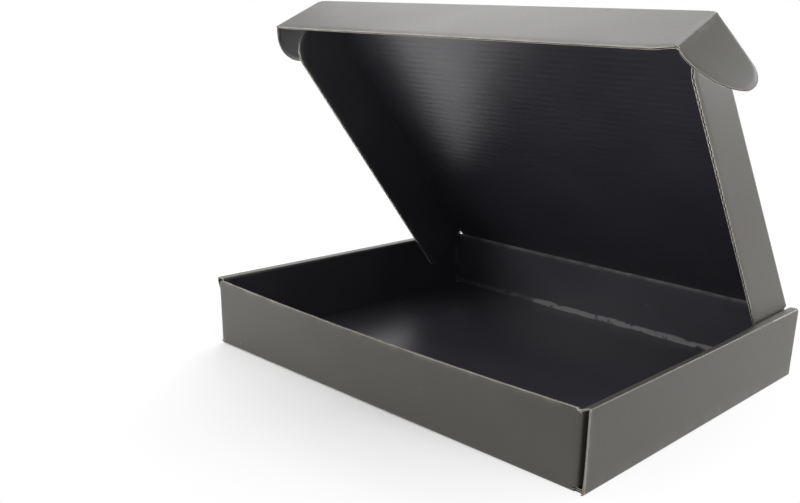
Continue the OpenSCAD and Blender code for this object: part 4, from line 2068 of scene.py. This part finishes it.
@dataclass
class Studio:
    """Pale floor, soft lamps, a white world and the camera; lengths are in metres.

    Attributes:
        eye, turn: Place of the camera, and its turn about x, y and z in degrees.
        lens, sensor: Its focal length and the width of its sensor, in millimetres.
        shift, clip: How far the picture is shifted, as a share of its width, and the distances that it shows.
        ambient: Strength of the world's light.
        floor_tone, floor_rough: Tone and roughness of the floor.
        floor_lift: Light that is added to the floor where it is seen.
        floor_half, floor_drop: Half of the floor's width, and how far it lies below the box.
        floor_lines: Lines of its grid each way.
        fade_shift, fade: Shift of places on the floor, and the distances between which it turns white.
        lamps: The soft lamps.
    """

    eye: Point = (0.50559, -0.61244, 0.29379)
    turn: Point = (71.1595, -2.2603, 41.1581)
    lens: float = 41.104
    sensor: float = 36.0
    shift: Pair = (-0.1112, 0.1039)
    clip: Pair = (0.01, 60.0)
    ambient: float = 0.50
    floor_tone: float = 0.80
    floor_rough: float = 0.9
    floor_lift: float = 0.14
    floor_half: float = 12.0
    floor_drop: float = 0.0002
    floor_lines: int = 13
    fade_shift: Point = (0.14, 0.02, 0.0)
    fade: Pair = (0.21, 0.40)
    lamps: tuple[Softbox, ...] = (
        Softbox("rear_left", (-0.74, 0.87, 1.12), (0.0, 0.0, 0.2), (1.25, 1.25), 10.0),
        Softbox("front_left", (-0.78, -0.66, 0.46), (-0.28, -0.16, 0.05), (0.6, 0.6), 6.6),
        Softbox("right_rear", (0.75, 1.0, 0.65), (0.2, 0.05, 0.2), (0.6, 0.6), 15.0),
        Softbox("right_top", (0.9, -0.3, 1.3), (0.2, -0.05, 0.25), (0.8, 0.8), 4.0),
    )

    def camera(self) -> bpy.types.Object:
        """Sets the camera where the photograph was taken from.

        Returns:
            The camera's object.
        """
        data = bpy.data.cameras.new("camera")
        data.sensor_width = self.sensor
        data.lens = self.lens
        data.shift_x, data.shift_y = self.shift
        data.clip_start, data.clip_end = self.clip
        camera = bpy.data.objects.new("camera", data)
        camera.location = self.eye
        camera.rotation_euler = Euler([math.radians(a) for a in self.turn], "XYZ")
        bpy.context.scene.collection.objects.link(camera)
        bpy.context.scene.camera = camera
        return camera

    def floor(self) -> bpy.types.Object:
        """Lays the floor: a wide sheet that lies flat, with a pale matt finish.

        Returns:
            The floor's object.
        """
        line = np.linspace(-self.floor_half, self.floor_half, self.floor_lines)
        x, y = np.meshgrid(line, line, indexing="ij")
        quads = grid_quads(*x.shape).reshape(-1, 4)
        mesh = bpy.data.meshes.new("studio_floor")
        points = np.stack([x.ravel(), y.ravel(), np.full(x.size, -self.floor_drop)], axis=1)
        mesh.from_pydata(points.tolist(), [], quads.tolist())
        mesh.materials.append(self.floor_paint())
        floor = bpy.data.objects.new("studio_floor", mesh)
        bpy.context.scene.collection.objects.link(floor)
        return floor

    def floor_paint(self) -> bpy.types.Material:
        """White matt paint; where it is seen it is lifted, and fades to plain white away from the box.

        Returns:
            The material.
        """
        kit = NodeKit("studio_white")
        kit.fix("Base Color", (self.floor_tone,) * 3 + (1.0,))
        kit.fix("Roughness", self.floor_rough)
        kit.fix("Specular IOR Level", 0.0)
        glow = kit.node("ShaderNodeEmission")
        away = kit.node("ShaderNodeVectorMath")
        away.operation = "LENGTH"
        moved = kit.node("ShaderNodeMapping")
        moved.inputs["Location"].default_value = self.fade_shift
        kit.wire(kit.coordinates(), moved.inputs["Vector"])
        kit.wire(moved.outputs["Vector"], away.inputs[0])
        glow.inputs["Strength"].default_value = self.floor_lift
        total = kit.node("ShaderNodeAddShader")
        kit.wire(kit.shader.outputs[0], total.inputs[0])
        kit.wire(glow.outputs[0], total.inputs[1])
        white = kit.node("ShaderNodeEmission")
        fade = kit.node("ShaderNodeMixShader")
        kit.wire(kit.span(away.outputs["Value"], self.fade, UNIT), fade.inputs[0])
        kit.wire(total.outputs[0], fade.inputs[1])
        kit.wire(white.outputs[0], fade.inputs[2])
        pick = kit.node("ShaderNodeMixShader")
        kit.wire(self.seen(kit), pick.inputs[0])
        kit.wire(kit.shader.outputs[0], pick.inputs[1])
        kit.wire(fade.outputs[0], pick.inputs[2])
        kit.wire(pick.outputs[0], kit.tree.nodes["Material Output"].inputs["Surface"])
        return kit.material

    def seen(self, nodes: Nodes) -> Socket:
        """Tells which rays show the background: camera, glossy and transmission rays.

        Args:
            nodes: The tree that asks.

        Returns:
            1 for those rays and 0 for others.
        """
        path = nodes.node("ShaderNodeLightPath")
        first = nodes.math("MAXIMUM", path.outputs["Is Camera Ray"], path.outputs["Is Glossy Ray"])
        return nodes.math("MAXIMUM", first, path.outputs["Is Transmission Ray"])

    def world(self) -> bpy.types.World:
        """Even soft light all round, and plain white where the background is seen.

        Returns:
            The scene's new world.
        """
        world = bpy.data.worlds.new("studio")
        bpy.context.scene.world = world
        world.use_nodes = True
        nodes = Nodes(world.node_tree)
        back = nodes.tree.nodes["Background"]
        back.inputs["Color"].default_value = (1.0, 1.0, 1.0, 1.0)
        strength = nodes.span(self.seen(nodes), UNIT, (self.ambient, 1.0))
        nodes.wire(strength, back.inputs["Strength"])
        return world

    def build(self) -> None:
        """Sets up the whole studio."""
        bpy.context.scene.view_settings.view_transform = "Standard"
        self.camera()
        self.floor()
        self.world()
        for lamp in self.lamps:
            lamp.light()


def main() -> None:
    """Builds the studio and every piece of the box, in order."""
    logging.basicConfig(level=logging.INFO, format="%(name)s: %(message)s")
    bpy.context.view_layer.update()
    Studio().build()
    board = Board()
    finishes = Finishes()
    put(Tray(board).build(), finishes, "tray")
    lid = Lid(board)
    put(lid.build(), finishes, "lid")
    tuck = TuckFront(board, lid)
    put(tuck.build(), finishes, "tuck_front")
    tuck.crease().build(finishes)
    for ear in (Ear(board, tuck, Hand.LEFT, fold=62.0), Ear(board, tuck, Hand.RIGHT, fold=47.0)):
        put(ear.build(), finishes, f"{ear.hand.word}_ear")
        ear.crease().build(finishes)
    flaps = (
        DustFlap(board, lid, Hand.LEFT, rear_h=56.0, front_h=53.0),
        DustFlap(board, lid, Hand.RIGHT, rear_h=50.0, front_h=36.0),
    )
    for flap in flaps:
        put(flap.build(), finishes, f"{flap.hand.word}_dust_flap")


if __name__ == "__main__":
    main()
